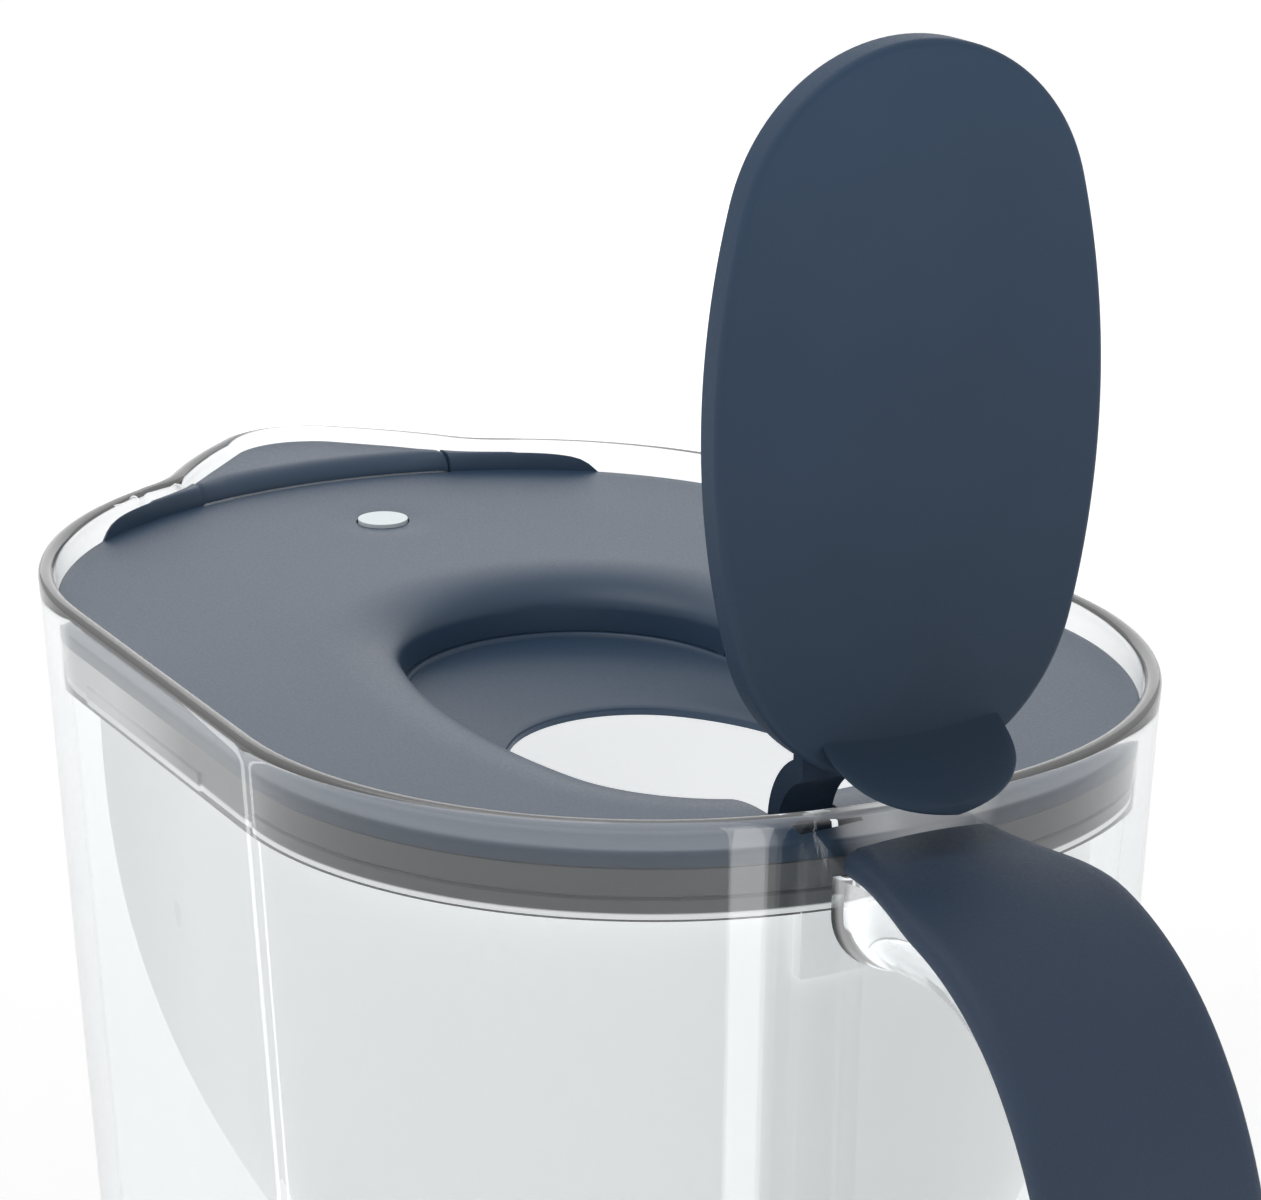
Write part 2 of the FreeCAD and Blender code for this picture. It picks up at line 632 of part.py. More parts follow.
def ridge_cutter(radius_gap, z_low):
    """Space inside the front ridge: straight below the lid's top, sloping outward above it."""
    rise = RIDGE_Z - LID_Z
    low_r = RIDGE_R - radius_gap
    cone = Part.makeCone(low_r, low_r + RIDGE_SLOPE_RUN, rise, Vector(RIDGE_X, 0, LID_Z), UP)
    return cone.fuse(disc(RIDGE_X, 0, z_low, LID_Z, low_r))


def front_ridge():
    raised = jug_form(LID_INSET, RIDGE_Z, LID_UNDER_Z)
    front_half = box(-SPOUT_REACH * 2, RIDGE_X, -HALF_WIDTH * 2, HALF_WIDTH * 2, LID_UNDER_Z, RIDGE_Z)
    return raised.common(front_half).cut(ridge_cutter(0, LID_UNDER_Z))


def hinge_slot(z_low, z_high):
    """Room for the flap's rear end, and two slots for its arms beside the middle tongue of the lid."""
    half = ARM_OUTER_Y + ARM_GAP
    swing = math.sqrt((PIVOT_DROP + FLAP_FOOT_RISE) ** 2 - (LID_Z - PIVOT_Z) ** 2) - FLAP_EDGE_FIT
    tongue_x = PIVOT_X - swing
    front = FLAP_REAR_X - ARM_PAD_LENGTH - ARM_THICK
    back = PIVOT_X + ARM_BARREL_R + ARM_GAP
    solid = box(front, back, -half, half, z_low, z_high)
    return solid.cut(box(tongue_x, back, -EAR_WIDTH / 2, EAR_WIDTH / 2, z_low, z_high))


def hinge_ear():
    half = EAR_WIDTH / 2
    stem = box(PIVOT_X - EAR_R, PIVOT_X + EAR_R, -half, half, PIVOT_Z, LID_UNDER_Z)
    ear = stem.fuse(pin(PIVOT_X, PIVOT_Z, -half, half, EAR_R))
    return ear.cut(pin(PIVOT_X, PIVOT_Z, -half - OVERRUN, half + OVERRUN, PIN_R + PIN_FIT))


def snap_windows(depth):
    """Four small noses of the basin, in windows of the fill hole's wall."""
    pieces = []
    z0 = HOLE_WALL_Z + SNAP_RISE
    band_height = SNAP_HEIGHT + OVERRUN * 2
    band = prism(hole_outline(LID_SKIN + SNAP_FIT, z0 - OVERRUN), band_height)
    band = band.cut(prism(hole_outline(-depth, z0 - OVERRUN), band_height))
    for x in (FLAP_X - SNAP_SPREAD, FLAP_X + SNAP_SPREAD):
        nose = box(x - SNAP_WIDTH / 2, x + SNAP_WIDTH / 2, 0, HOLE_HALF_WIDTH * 2, z0, z0 + SNAP_HEIGHT)
        pieces += both_sides(nose.common(band))
    return pieces


def lid_top():
    plate = jug_form(LID_INSET, LID_Z, LID_UNDER_Z)
    solid = plate.fuse([front_ridge(), roll(LID_SKIN), hinge_ear()])
    solid = solid.cut(roll(0))
    solid = solid.cut(prism(hole_outline(0, HOLE_WALL_Z - OVERRUN), OVERRUN * 2))
    half = SPOUT_FLAP_WIDTH / 2 + SEAM
    below = LID_UNDER_Z - OVERRUN
    above = RIM_Z + OVERRUN
    spout_gap = box(-SPOUT_REACH * 2, RIDGE_X, -half, half, below, above)
    spout_gap = spout_gap.cut(disc(RIDGE_X, 0, below, above, RIDGE_R - SPOUT_FLAP_BACK_GAP))
    solid = solid.cut(spout_gap)
    solid = solid.cut(hinge_slot(PIVOT_Z - EAR_R, RIM_Z))
    solid = solid.cut(disc(INDICATOR_X, 0, below, above, DISC_R + DISC_FIT))
    solid = solid.cut(snap_windows(SNAP_PROUD))
    pin_end = SPOUT_FLAP_WIDTH / 2 + SPOUT_PIN_ENGAGE + SEAM
    lug_end = SPOUT_FLAP_WIDTH / 2 - SPOUT_PIN_LENGTH - SEAM
    pin_z = RIM_Z - SPOUT_PIN_DROP
    bore = pin(SPOUT_PIN_X, pin_z, half - OVERRUN, pin_end, SPOUT_PIN_R + PIN_FIT)
    notch = pin(SPOUT_PIN_X, pin_z, lug_end, half, SPOUT_LUG_R + SPOUT_LUG_FIT)
    return solid.cut(both_sides(bore) + both_sides(notch)).removeSplitter()


def lid_basin():
    hole_z = RIM_Z - BASIN_HOLE_DROP
    low_z = hole_z - BASIN_SKIN
    ring_out = LID_SKIN + SNAP_FIT + BASIN_SKIN
    dish = frustum(basin_hole(BASIN_SKIN, low_z), hole_outline(ring_out, HOLE_WALL_Z))
    band = prism(hole_outline(ring_out, HOLE_WALL_Z), HOLE_WALL_DROP - BASIN_RING_DROP)
    band = band.cut(prism(hole_outline(LID_SKIN + SNAP_FIT, HOLE_WALL_Z), LEDGE_DROP))
    solid = dish.fuse([band] + snap_windows(SNAP_PROUD))
    solid = solid.cut(frustum(basin_hole(0, hole_z), hole_outline(0, HOLE_WALL_Z)))
    solid = solid.cut(prism(basin_hole(0, low_z - OVERRUN), BASIN_SKIN + OVERRUN * 2))
    solid = solid.cut(hinge_slot(low_z - OVERRUN, RIM_Z))
    tongue = box(FLAP_REAR_X, REAR_REACH, -EAR_WIDTH, EAR_WIDTH, low_z - OVERRUN, RIM_Z)
    return solid.cut(tongue).removeSplitter()


# Change indicator

def pod_sides():
    """Rear, front and half width of the pod that holds the indicator."""
    return POD_X - POD_LENGTH / 2, POD_X + POD_LENGTH / 2, POD_WIDTH / 2


def door_screw_places():
    x1, half = pod_sides()[1:]
    return [(x1 - DOOR_SCREW_INSET, side * (half - DOOR_SCREW_INSET)) for side in (-1, 1)]


def indicator_housing():
    x0, x1, half = pod_sides()
    housing = box(x0, x1, -half, half, POD_Z, LID_UNDER_Z)
    housing = housing.cut(box(x0 + POD_WALL, x1 - POD_WALL, POD_WALL - half, half - POD_WALL,
                              POD_Z - OVERRUN, LID_UNDER_Z + OVERRUN))
    for x, y in door_screw_places():
        housing = housing.fuse(disc(x, y, POD_Z, BOARD_Z - BOARD_GAP, DOOR_BOSS_R))
    for x, y in door_screw_places():
        housing = housing.cut(disc(x, y, POD_Z - OVERRUN, BOARD_Z, DOOR_SCREW_R))
    return housing.removeSplitter()


def button_pieces():
    """The board, the switch on it, the lamps and the disc that presses the switch."""
    x0, x1, half = pod_sides()
    gap = POD_WALL + BOARD_GAP
    board_top = BOARD_Z + BOARD_THICK
    board = box(x0 + gap, x1 - gap, gap - half, half - gap, BOARD_Z, board_top)
    body_top = board_top + SWITCH_BODY_HEIGHT
    collar_top = LID_UNDER_Z - DISC_COLLAR_GAP
    collar_z = collar_top - DISC_COLLAR_THICK
    stem_z = collar_z - DISC_TRAVEL
    side = SWITCH_SIDE / 2
    switch = box(INDICATOR_X - side, INDICATOR_X + side, -side, side, board_top, body_top)
    switch = switch.fuse(disc(INDICATOR_X, 0, body_top, stem_z - DISC_TRAVEL, PLUNGER_R))
    button = disc(INDICATOR_X, 0, collar_top, LID_Z + DISC_PROUD, DISC_R)
    button = button.fuse([disc(INDICATOR_X, 0, collar_z, collar_top, DISC_COLLAR_R),
                          disc(INDICATOR_X, 0, stem_z, collar_top, STEM_R)])
    lamp_x = INDICATOR_X + LAMP_STEP
    lamp = box(lamp_x - LAMP_SIDE / 2, lamp_x + LAMP_SIDE / 2, LAMP_STEP - LAMP_SIDE / 2,
               LAMP_STEP + LAMP_SIDE / 2, board_top, board_top + LAMP_HEIGHT)
    return {"indicator_board": board, "reset_switch": switch.removeSplitter(),
            "indicator_disc": button.removeSplitter(),
            "indicator_lamps": Part.makeCompound(both_sides(lamp))}


def battery_pieces():
    x0, x1, half = pod_sides()
    cell_top = BOARD_Z - CLIP_THICK
    cell_z = cell_top - CELL_THICK
    cell_x = x0 + POD_WALL + BOARD_GAP + CELL_R
    cell = disc(cell_x, 0, cell_z, cell_top, CELL_R)
    clip_half = CLIP_WIDTH / 2
    clip = box(cell_x - CELL_R, cell_x + CELL_R, -clip_half, clip_half, cell_top, BOARD_Z)
    door_z = POD_Z - DOOR_THICK
    pad_half = CELL_R / 2
    door = box(x0, x1, -half, half, door_z, POD_Z)
    door = door.fuse(box(cell_x - pad_half, cell_x + pad_half, -pad_half, pad_half, POD_Z, cell_z))
    screws = []
    for x, y in door_screw_places():
        door = door.cut(disc(x, y, door_z - OVERRUN, POD_Z + OVERRUN, DOOR_SCREW_R))
        shank = disc(x, y, door_z, BOARD_Z - BOARD_GAP - DOOR_SCREW_TIP_GAP, DOOR_SCREW_R)
        head = disc(x, y, door_z - DOOR_SCREW_HEAD, door_z, DOOR_SCREW_HEAD_R)
        screws.append(shank.fuse(head).removeSplitter())
    return {"coin_cell": cell, "cell_contact": clip, "battery_door": door.removeSplitter(),
            "battery_door_screws": Part.makeCompound(screws)}


# Fill flap, drawn closed

def opened(shape):
    """Turns a piece of the fill flap from its closed place up to the open one."""
    turned = shape.copy()
    turned.rotate(Vector(PIVOT_X, 0, PIVOT_Z), ALONG_Y, 90)
    return turned


def thumb_tab():
    foot_x = FLAP_REAR_X - TAB_ROOT
    low = FLAP_Z - TAB_OVERLAP
    tip_z = FLAP_Z + TAB_REACH
    profile = [(foot_x - TAB_THICK / 2, low), (foot_x + TAB_THICK / 2, low),
               (foot_x + TAB_LEAN + TAB_THICK / 2, tip_z), (foot_x + TAB_LEAN - TAB_THICK / 2, tip_z)]
    points = [Vector(x, -TAB_WIDTH / 2, z) for x, z in profile + profile[:1]]
    plate = Part.Face(Part.makePolygon(points)).extrude(ALONG_Y * TAB_WIDTH)
    round_r = TAB_WIDTH / 2
    dome_start = in_plane(foot_x - TAB_WIDTH, tip_z - round_r)
    return plate.common(Part.makeCylinder(round_r, TAB_WIDTH * 2, dome_start, ALONG_X))


def flap_panel():
    panel = prism(flap_outline(0, FLAP_Z - PANEL_THICK), PANEL_THICK)
    panel = panel.makeFillet(PANEL_ROUND, edges_at(panel, FLAP_Z))
    return panel.fuse(thumb_tab()).removeSplitter()


def flap_liner():
    return prism(flap_outline(-LINER_INSET, FLAP_Z - FLAP_THICK), FLAP_THICK - PANEL_THICK)


def flap_arm():
    """A goose-neck strap from the liner, under the lid's rear border, to the pivot barrel."""
    top = FLAP_Z - FLAP_THICK
    pad_x = FLAP_REAR_X - ARM_PAD_LENGTH
    neck_x = FLAP_REAR_X + ARM_THICK
    low_z = PIVOT_Z - ARM_BOW
    mid_x = (neck_x + PIVOT_X) / 2
    pivot = in_plane(PIVOT_X, PIVOT_Z)
    outer = [line(in_plane(pad_x, top), in_plane(FLAP_REAR_X, top)),
             arc(in_plane(FLAP_REAR_X, top), in_plane(mid_x, low_z + ARM_THICK), pivot)]
    inner = [line(in_plane(pad_x, top - ARM_THICK), in_plane(FLAP_REAR_X - ARM_THICK, top - ARM_THICK)),
             arc(in_plane(FLAP_REAR_X - ARM_THICK, top - ARM_THICK), in_plane(mid_x, low_z),
                 in_plane(PIVOT_X, PIVOT_Z - ARM_BARREL_R))]
    closing = [line(in_plane(pad_x, top), in_plane(pad_x, top - ARM_THICK)),
               line(pivot, in_plane(PIVOT_X, PIVOT_Z - ARM_BARREL_R))]
    side = Part.Face(Part.Wire(Part.__sortEdges__(outer + inner + closing)))
    strap = side.extrude(ALONG_Y * ARM_WIDTH).translated(ALONG_Y * ARM_INNER_Y)
    solid = strap.fuse(pin(PIVOT_X, PIVOT_Z, ARM_INNER_Y, ARM_OUTER_Y, ARM_BARREL_R))
    bore = pin(PIVOT_X, PIVOT_Z, ARM_INNER_Y - OVERRUN, ARM_OUTER_Y + OVERRUN, PIN_R)
    return solid.cut(bore).removeSplitter()


# Spout flap

def spout_flap():
    half = SPOUT_FLAP_WIDTH / 2
    low_z = RIDGE_Z - SPOUT_FLAP_THICK
    form = spout_body(RIM_WALL + SPOUT_FLAP_WALL_GAP, RIDGE_Z, low_z)
    form = form.common(box(-SPOUT_REACH * 2, RIDGE_X, -half, half, low_z, RIDGE_Z))
    form = form.cut(ridge_cutter(0, low_z - OVERRUN))
    lug = pin(SPOUT_PIN_X, RIM_Z - SPOUT_PIN_DROP, half - SPOUT_PIN_LENGTH, half, SPOUT_LUG_R)
    return form.fuse(both_sides(lug)).removeSplitter()


def spout_pins():
    half = SPOUT_FLAP_WIDTH / 2
    z = RIM_Z - SPOUT_PIN_DROP
    return both_sides(pin(SPOUT_PIN_X, z, half - SPOUT_PIN_LENGTH, half + SPOUT_PIN_ENGAGE, SPOUT_PIN_R))


def main():
    outer = outer_jug()
    grip = handle_grip(outer)
    pieces = {"jug_body": jug_body(outer), "handle_grip": grip, "base_pad": base_pad(), "funnel": funnel()}
    pieces.update(cartridge_pieces())
    pieces.update({"lid_top": lid_top(), "lid_basin": lid_basin()})
    pieces["indicator_housing"] = indicator_housing()
    pieces.update(button_pieces())
    pieces.update(battery_pieces())
    arm = flap_arm()
    rod = pin(PIVOT_X, PIVOT_Z, -ARM_OUTER_Y, ARM_OUTER_Y, PIN_R)
    pieces["flap_panel"] = opened(flap_panel())
    pieces["flap_liner"] = opened(flap_liner())
    pieces["flap_arms"] = opened(Part.makeCompound(both_sides(arm)))
    pieces["flap_hinge_pin"] = opened(rod)
    flap = spout_flap()
    rods = spout_pins()
    pieces["spout_flap"] = flap.cut(rods)
    pieces["spout_flap_pins"] = Part.makeCompound(rods)
    os.makedirs("parts", exist_ok=True)
    for node, shape in pieces.items():
        solids = shape.Solids
        volume = sum(s.Volume for s in solids)
        print(node, "solids", len(solids), "valid", shape.isValid(), "volume", round(volume, 1))
        whole = solids[0] if len(solids) == 1 else Part.makeCompound(solids)
        whole.exportStep("parts/" + node + ".step")


main()
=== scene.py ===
import json
import math
from collections import namedtuple

import bmesh
import bpy
import numpy as np
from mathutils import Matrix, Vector


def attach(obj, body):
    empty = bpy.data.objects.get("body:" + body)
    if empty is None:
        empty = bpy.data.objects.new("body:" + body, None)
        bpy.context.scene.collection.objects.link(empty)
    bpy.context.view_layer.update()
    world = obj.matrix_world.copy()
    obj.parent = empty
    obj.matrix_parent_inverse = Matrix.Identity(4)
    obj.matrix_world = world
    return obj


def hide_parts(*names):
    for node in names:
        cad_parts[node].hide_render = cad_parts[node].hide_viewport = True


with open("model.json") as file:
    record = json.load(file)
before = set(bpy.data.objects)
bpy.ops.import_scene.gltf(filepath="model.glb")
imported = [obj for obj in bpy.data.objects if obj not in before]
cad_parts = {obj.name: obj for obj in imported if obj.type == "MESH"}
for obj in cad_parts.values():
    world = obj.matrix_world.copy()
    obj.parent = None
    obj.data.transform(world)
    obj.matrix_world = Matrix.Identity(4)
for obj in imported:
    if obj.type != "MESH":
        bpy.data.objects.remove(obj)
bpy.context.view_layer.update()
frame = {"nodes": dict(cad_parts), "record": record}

# Metres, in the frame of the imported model. The spout points to -X and the handle to +X.

# Jug
RIM_Z = 0.265
HALF_WIDTH = 0.0626
REACH = 0.08935
REAR_CORNER_INSET, REAR_NOSE_EXTRA = 0.0046, 0.018
FRONT_CORNER_INSET, FRONT_NOSE_EXTRA = 0.0026, 0.007
DRAFT = math.tan(math.radians(3.0))
RIM_WALL, WALL, FLOOR = 0.0022, 0.0032, 0.0034
FOOT_LIFT, FOOT_CAP_INSET, BOTTOM_ROUND = 0.0012, 0.021, 0.007
LEDGE_Z, LEDGE_STEP = RIM_Z - 0.013, 0.00001
RIM_EDGE_Z = RIM_Z - RIM_WALL / 2
BOTTOM_TURNS = np.radians(np.linspace(0, 90, 9))
JUG_SEGMENTS = 480
WALL_RINGS, SPOUT_RINGS, INNER_SPOUT_RINGS, RIM_RINGS, LEDGE_RINGS = 26, 31, 25, 11, 8

# Meshes
SHARP_DEG, CUT_SHARP_DEG, FLAP_SHARP_DEG, GRIP_SHARP_DEG = 35.0, 32.0, 40.0, 50.0
MERGE_DISTANCE, CUT_OVERRUN = 1e-7, 0.020
TUBE_POINTS, DRUM_POINTS, SOCKET_POINTS = 40, 64, 200
NOSE_POINTS, CORNER_POINTS, LINE_POINTS, SPOUT_POINTS = 120, 240, 200, 120
EGG_END_POINTS, EGG_SIDE_POINTS = 100, 200
EDGE_TURNS = np.radians([30, 60, 90])

# Plastics: the middle of a noise is spread over the full change of a colour or a finish
NOISE_MIDDLE, CLOUD_SCALE = (0.3, 0.7), 45.0
ROUGH_VARY, GRAIN_STRENGTH, GRAIN_DETAIL = 0.1, 0.25, 2.0
# The second colour is painted shade: the grey that the milky collar takes under the dark lid.
MILKY_WHITE, COLLAR_PAINTED_SHADE = (0.86, 0.87, 0.87), (0.13, 0.135, 0.145)
MILKY_ROUGH, MILKY_GRAIN = (0.38, 0.46), 1800.0
MILKY_GRAIN_STRENGTH, MILKY_GRAIN_DEPTH = 0.2, 0.00002
CLEAR_ROUGH, CLEAR_CLOUD_SCALE = (0.0, 0.015), 30.0

# Metals and screens
METAL_GRAIN, METAL_ROUGH_VARY, METAL_DARK_SHARE = 900.0, 0.2, 0.92
CELL_STRENGTH, HOLE_DARK_SHARE = 0.6, 0.35

# Painted light: emission on the clear and milky plastic, with painted shade. On the milky plastic it stands
# for the light that it carries inside; on the clear plastic it paints a highlight on the rim's top and light
# on the handle's core
COLLAR_SHADE_FADE = 0.0004
INSIDE_DOT = 0.004
OUTSIDE_GLOW, INSIDE_GLOW = 0.33, 0.38
# Painted shade: the milky plastic's outside glow drops towards the front.
FRONT_SHADE_X, FRONT_GLOW_SHARE = (-0.060, 0.010), 0.05
# Painted shade at the collar, lighter towards the front.
COLLAR_SHADE_X, COLLAR_FRONT_SHADE_SHARE = (-0.015, 0.040), 0.45
# Painted highlight on the rim's top and painted light on the handle's core, strongest at its root.
RIM_HIGHLIGHT_DEPTH, RIM_PAINTED_HIGHLIGHT = 0.0016, 0.15
CORE_LIGHT_X, CORE_LIGHT_FADE_X = (REACH - 0.001, REACH), (REACH + 0.002, REACH + 0.006)
CORE_ROOT_PAINTED_LIGHT, CORE_PAINTED_LIGHT = 0.26, 0.07

# Spout
SPOUT_LENGTH, SPOUT_TIP_R, SPOUT_BLEND_R = 0.0166, 0.014, 0.030
SPOUT_ROOT_DEG = 151.2255
SPOUT_DROP, SPOUT_SINK = 0.060, 0.00225
SPOUT_FOOT_Z = RIM_Z - SPOUT_DROP
SLANT = DRAFT + (SPOUT_LENGTH + SPOUT_SINK) / SPOUT_DROP
SPOUT_SOFTEN, SOFTEN_LEAST = 0.004, 1e-9

# Handle. Arcs: radius and turn in degrees, from the top down.
HANDLE_TOP_Z = RIM_Z - 0.0043
HANDLE_TOP_RUN = 0.01265
HANDLE_ARCS = [(0.038, 50.0), (0.052, 40.0), (0.150, 12.0)]
ROOT_STEPS, ARC_STEPS, RUN_STEPS = 12, 22, 16
HANDLE_RUN, HANDLE_LOWER_R = 0.058, 0.030
GRIP_WIDTH, GRIP_ROOT_WIDTH, GRIP_WIDEN = 0.029, 0.0215, 0.022
GRIP_THICK, GRIP_CROWN, GRIP_EDGE_R, GRIP_GAP = 0.0042, 0.0006, 0.0018, 0.0001
CORE_WIDTH, CORE_DEPTH, CORE_ROUND = 0.020, 0.011, 0.0075
CORE_FLARE_SHARE, CORE_FLARE_LENGTH = 0.16, 0.0035
CORE_WALL, CORE_SINK = 0.0026, 0.0003
GRIP_TOP_POINTS, GRIP_UNDER_POINTS, GRIP_EDGE_POINTS, CORE_POINTS = 17, 9, 8, 14

# Lid. Top rings: count and power of their spacing before, on and past the crescent's face.
LID_Z, LID_THICK, LID_INSET = RIM_Z - 0.0043, 0.0019, 0.0024
RIDGE_Z, RIDGE_R, RIDGE_RUN = RIM_Z - 0.0017, 0.0655, 0.0038
RIDGE_INSET = 0.00415
RIDGE_X = RIDGE_R + RIDGE_INSET - REACH
RIDGE_POWER, RIDGE_RUN_SHARE, RIDGE_END_SHARE = 1.8, 0.5, 1.1
TOP_RINGS = [(22, 1), (18, 2), (8, 1)]
ROLL_WIDTH, ROLL_DEPTH, ROLL_RINGS = 0.011, 0.0044, 15
LID_SKIN, UNDER_SHARE = 0.0018, 0.5
HOLE_WALL_Z = RIM_Z - 0.0118
LID_EDGE_R = 0.0006
DIMPLE_R, DIMPLE_DEPTH = 0.0095, 0.00045
INDICATOR_X, DISC_R, DISC_FIT = 0.02725 - REACH, 0.0037, 0.00028
SEAM_HALF, SEAM_POINTS = 0.02085, 61
FLAP_SEAM_HALF = 0.02062
SPOUT_FLAP_GAP, SPOUT_FLAP_BACK_GAP, SPOUT_FLAP_THICK = 0.0031, 0.0005, 0.0042
SPOUT_FLAP_BEVEL, SPOUT_FLAP_EDGE, SPOUT_FLAP_EDGE_DROP = 0.0022, 0.0006, 0.0003
SPOUT_FLAP_ROWS, SPOUT_FLAP_COLUMNS = 71, 27

# Funnel: collar on the jug's ledge, round bowl, socket for the cartridge.
# Bowl: place in X, half length, half width and end radius. Vents: place in X and half length.
COLLAR_TOP_Z, COLLAR_GAP, COLLAR_THICK = RIM_Z - 0.0062, 0.0004, 0.0015
COLLAR_GROOVE_Z, COLLAR_GROOVE = RIM_Z - 0.0102, 0.0003
COLLAR_INSET, SEAT_Z = RIM_WALL + COLLAR_GAP, LEDGE_Z + COLLAR_GROOVE / 3
BOWL_TOP = np.array([0.0020, 0.0820, 0.0580, 0.0530])
BOWL_FLOOR = np.array([0.0200, 0.0420, 0.0370, 0.0340])
BOWL_TOP_Z, BOWL_FLOOR_Z, BOWL_POWER = LEDGE_Z - 0.0006, RIM_Z - 0.092, 3.0
FUNNEL_WALL, FUNNEL_CENTRE_X = 0.0018, 0.010
SOCKET_X, SOCKET_R, SOCKET_LENGTH = 0.020, 0.0266, 0.018
POUR_HALF, POUR_X = 0.022, -0.0795
BAY_HALF, BAY_WALL, BAY_Z = 0.0129, 0.0009, RIM_Z - 0.0208
BAY_X = (0.0742, 0.0832)
VENTS = [(0.022, 0.0085), (-0.032, 0.0060)]
VENT_DEPTH, VENT_HEIGHT = 0.0011, 0.0030
FUNNEL_SEGMENTS, BOWL_RINGS = 360, 26

# Basin under the fill hole
BASIN_X, BASIN_HALF_LENGTH, BASIN_HALF_WIDTH, BASIN_END_R = 0.0302, 0.02885, 0.022, 0.0175
BASIN_Z, BASIN_SKIN, BASIN_EDGE, BASIN_GAP = RIM_Z - 0.0168, 0.0016, 0.0012, 0.0001
BASIN_CENTRE_X = 0.026
LEDGE_SHARE, LEDGE_ROUND_SHARE, LEDGE_ROUND_DROP_SHARE = 1 / 3, 1 / 2, 1 / 8
SLOPE_INSET_SHARE, SLOPE_DROP_SHARE, SLOPE_RINGS = 0.6, 1 / 3, 9
EDGE_FALL_SHARE, UNDER_DROP_SHARE = 0.4, 1.3
NOSE_APART, NOSE_HALF, NOSE_RISE, NOSE_OUT = 0.025, 0.0012, 0.0022, 0.00005

# Fill flap, built closed and turned open
PIVOT_X, PIVOT_Z = REACH - 0.00975, RIM_Z - 0.0135
FLAP_Z = PIVOT_Z + 0.0068
FLAP_X = 0.021
FLAP_HALF_LENGTH, FLAP_HALF_WIDTH, FLAP_END_R = 0.0439, 0.0261, 0.0234
FLAP_REAR_X = FLAP_X + FLAP_HALF_LENGTH
FLAP_THICK, PANEL_THICK, LINER_INSET = 0.0049, 0.0026, 0.0012
FLAP_EDGE_R, FLAP_CROWN, FLAP_FIT = 0.0010, 0.0007, 0.0005
FLAP_SEGMENTS, FLAP_EDGE_RINGS = 240, 8
FACE_INSETS = (0.019, 0.016, 0.013, 0.010, 0.007, 0.005, 0.003, 0.002)
LIP_WIDTH, LIP_EDGE, LIP_DROP, LIP_SLOPE = 0.0010, 0.0003, 0.0001, 0.0001
FLOOR_INSETS = (0.008, 0.016)
LINER_EDGE_R = 0.0007
GROOVE_INSET, GROOVE_WIDTH, GROOVE_SLOPE, GROOVE_DEPTH = 0.0040, 0.0020, 0.0004, 0.0005
LINER_FACE_INSETS = (0.012, 0.017)
TAB_HALF_WIDTH, TAB_REACH, TAB_LEAN = 0.0122, 0.0105, 0.0056
TAB_THICK, TAB_ROOT, TAB_DISH, TAB_TIP_HALF = 0.0026, 0.0055, 0.0016, 0.00001
TAB_ROUND_POWER, TAB_LEAN_POWER, TAB_FLAT_POWER = 3.2, 0.8, 0.7
TAB_THIN_SHARE, TAB_DISH_FADE_SHARE = 0.45, 0.3
TAB_STEPS, TAB_POINTS = 26, 41
ARM_OUTER_Y, ARM_GAP, ARM_EYE_R, ARM_ROOM = 0.0124, 0.0005, 0.0024, 0.0132
EAR_HALF, EAR_R, EAR_BORE_R = 0.0044, 0.0026, 0.00155
TONGUE_REACH, SLOT_OVERLAP = 0.004, 0.001
# Painted light on the fill flap: its colour grows lighter between these two levels, with a cloudy wander.
FLAP_PAINTED_LIGHT_LEVELS, PAINTED_LIGHT_WANDER = (RIM_Z + 0.010, RIM_Z + 0.100), 0.008

# Stage. Panels: name, place, size, radiance. Strips: name, foot, point that they face, width, radiance.
FLOOR_HALF, FLOOR_NEAR, FLOOR_FAR = 12.0, 0.5, 1.6
NEAR_GLOW, FAR_GLOW = 0.16, 0.42
WORLD_STRENGTH = 0.6
PANELS = [("back_panel", (-1.27, 0.68, 0.85), (1.8, 1.1), 0.9),
          ("top_panel", (-0.3, -0.5, 1.6), (1.0, 1.0), 1.5)]
STRIP_HEIGHT = 0.2
STRIPS = [("side_strip", (-0.244, -0.179), (0.032, -0.061), 0.012, 1.6),
          ("rear_strip", (0.332, -0.037), (0.085, -0.020), 0.045, 2.6)]

# Camera
CAMERA_SENSOR, CAMERA_LENS, CAMERA_CLIP = 36.0, 114.9, (0.01, 50.0)
CAMERA_TURN_DEG, CAMERA_TILT_DEG = 61.85, 17.18
CAMERA_PLACE = (0.46505, -0.2401, 0.4268)


# Meshes

def add_mesh(name, verts, faces, body, material, sharp_deg=SHARP_DEG):
    mesh = bpy.data.meshes.new(name)
    mesh.from_pydata([tuple(v) for v in verts], [], faces)
    bm = bmesh.new()
    bm.from_mesh(mesh)
    bmesh.ops.remove_doubles(bm, verts=bm.verts, dist=MERGE_DISTANCE)
    bmesh.ops.recalc_face_normals(bm, faces=bm.faces)
    bm.to_mesh(mesh)
    bm.free()
    obj = bpy.data.objects.new(name, mesh)
    bpy.context.scene.collection.objects.link(obj)
    shade(obj, sharp_deg)
    if material:
        mesh.materials.append(material)
    if body:
        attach(obj, body)
    return obj


def shade(obj, sharp_deg):
    obj.data.shade_smooth()
    obj.data.set_sharp_from_angle(angle=math.radians(sharp_deg))


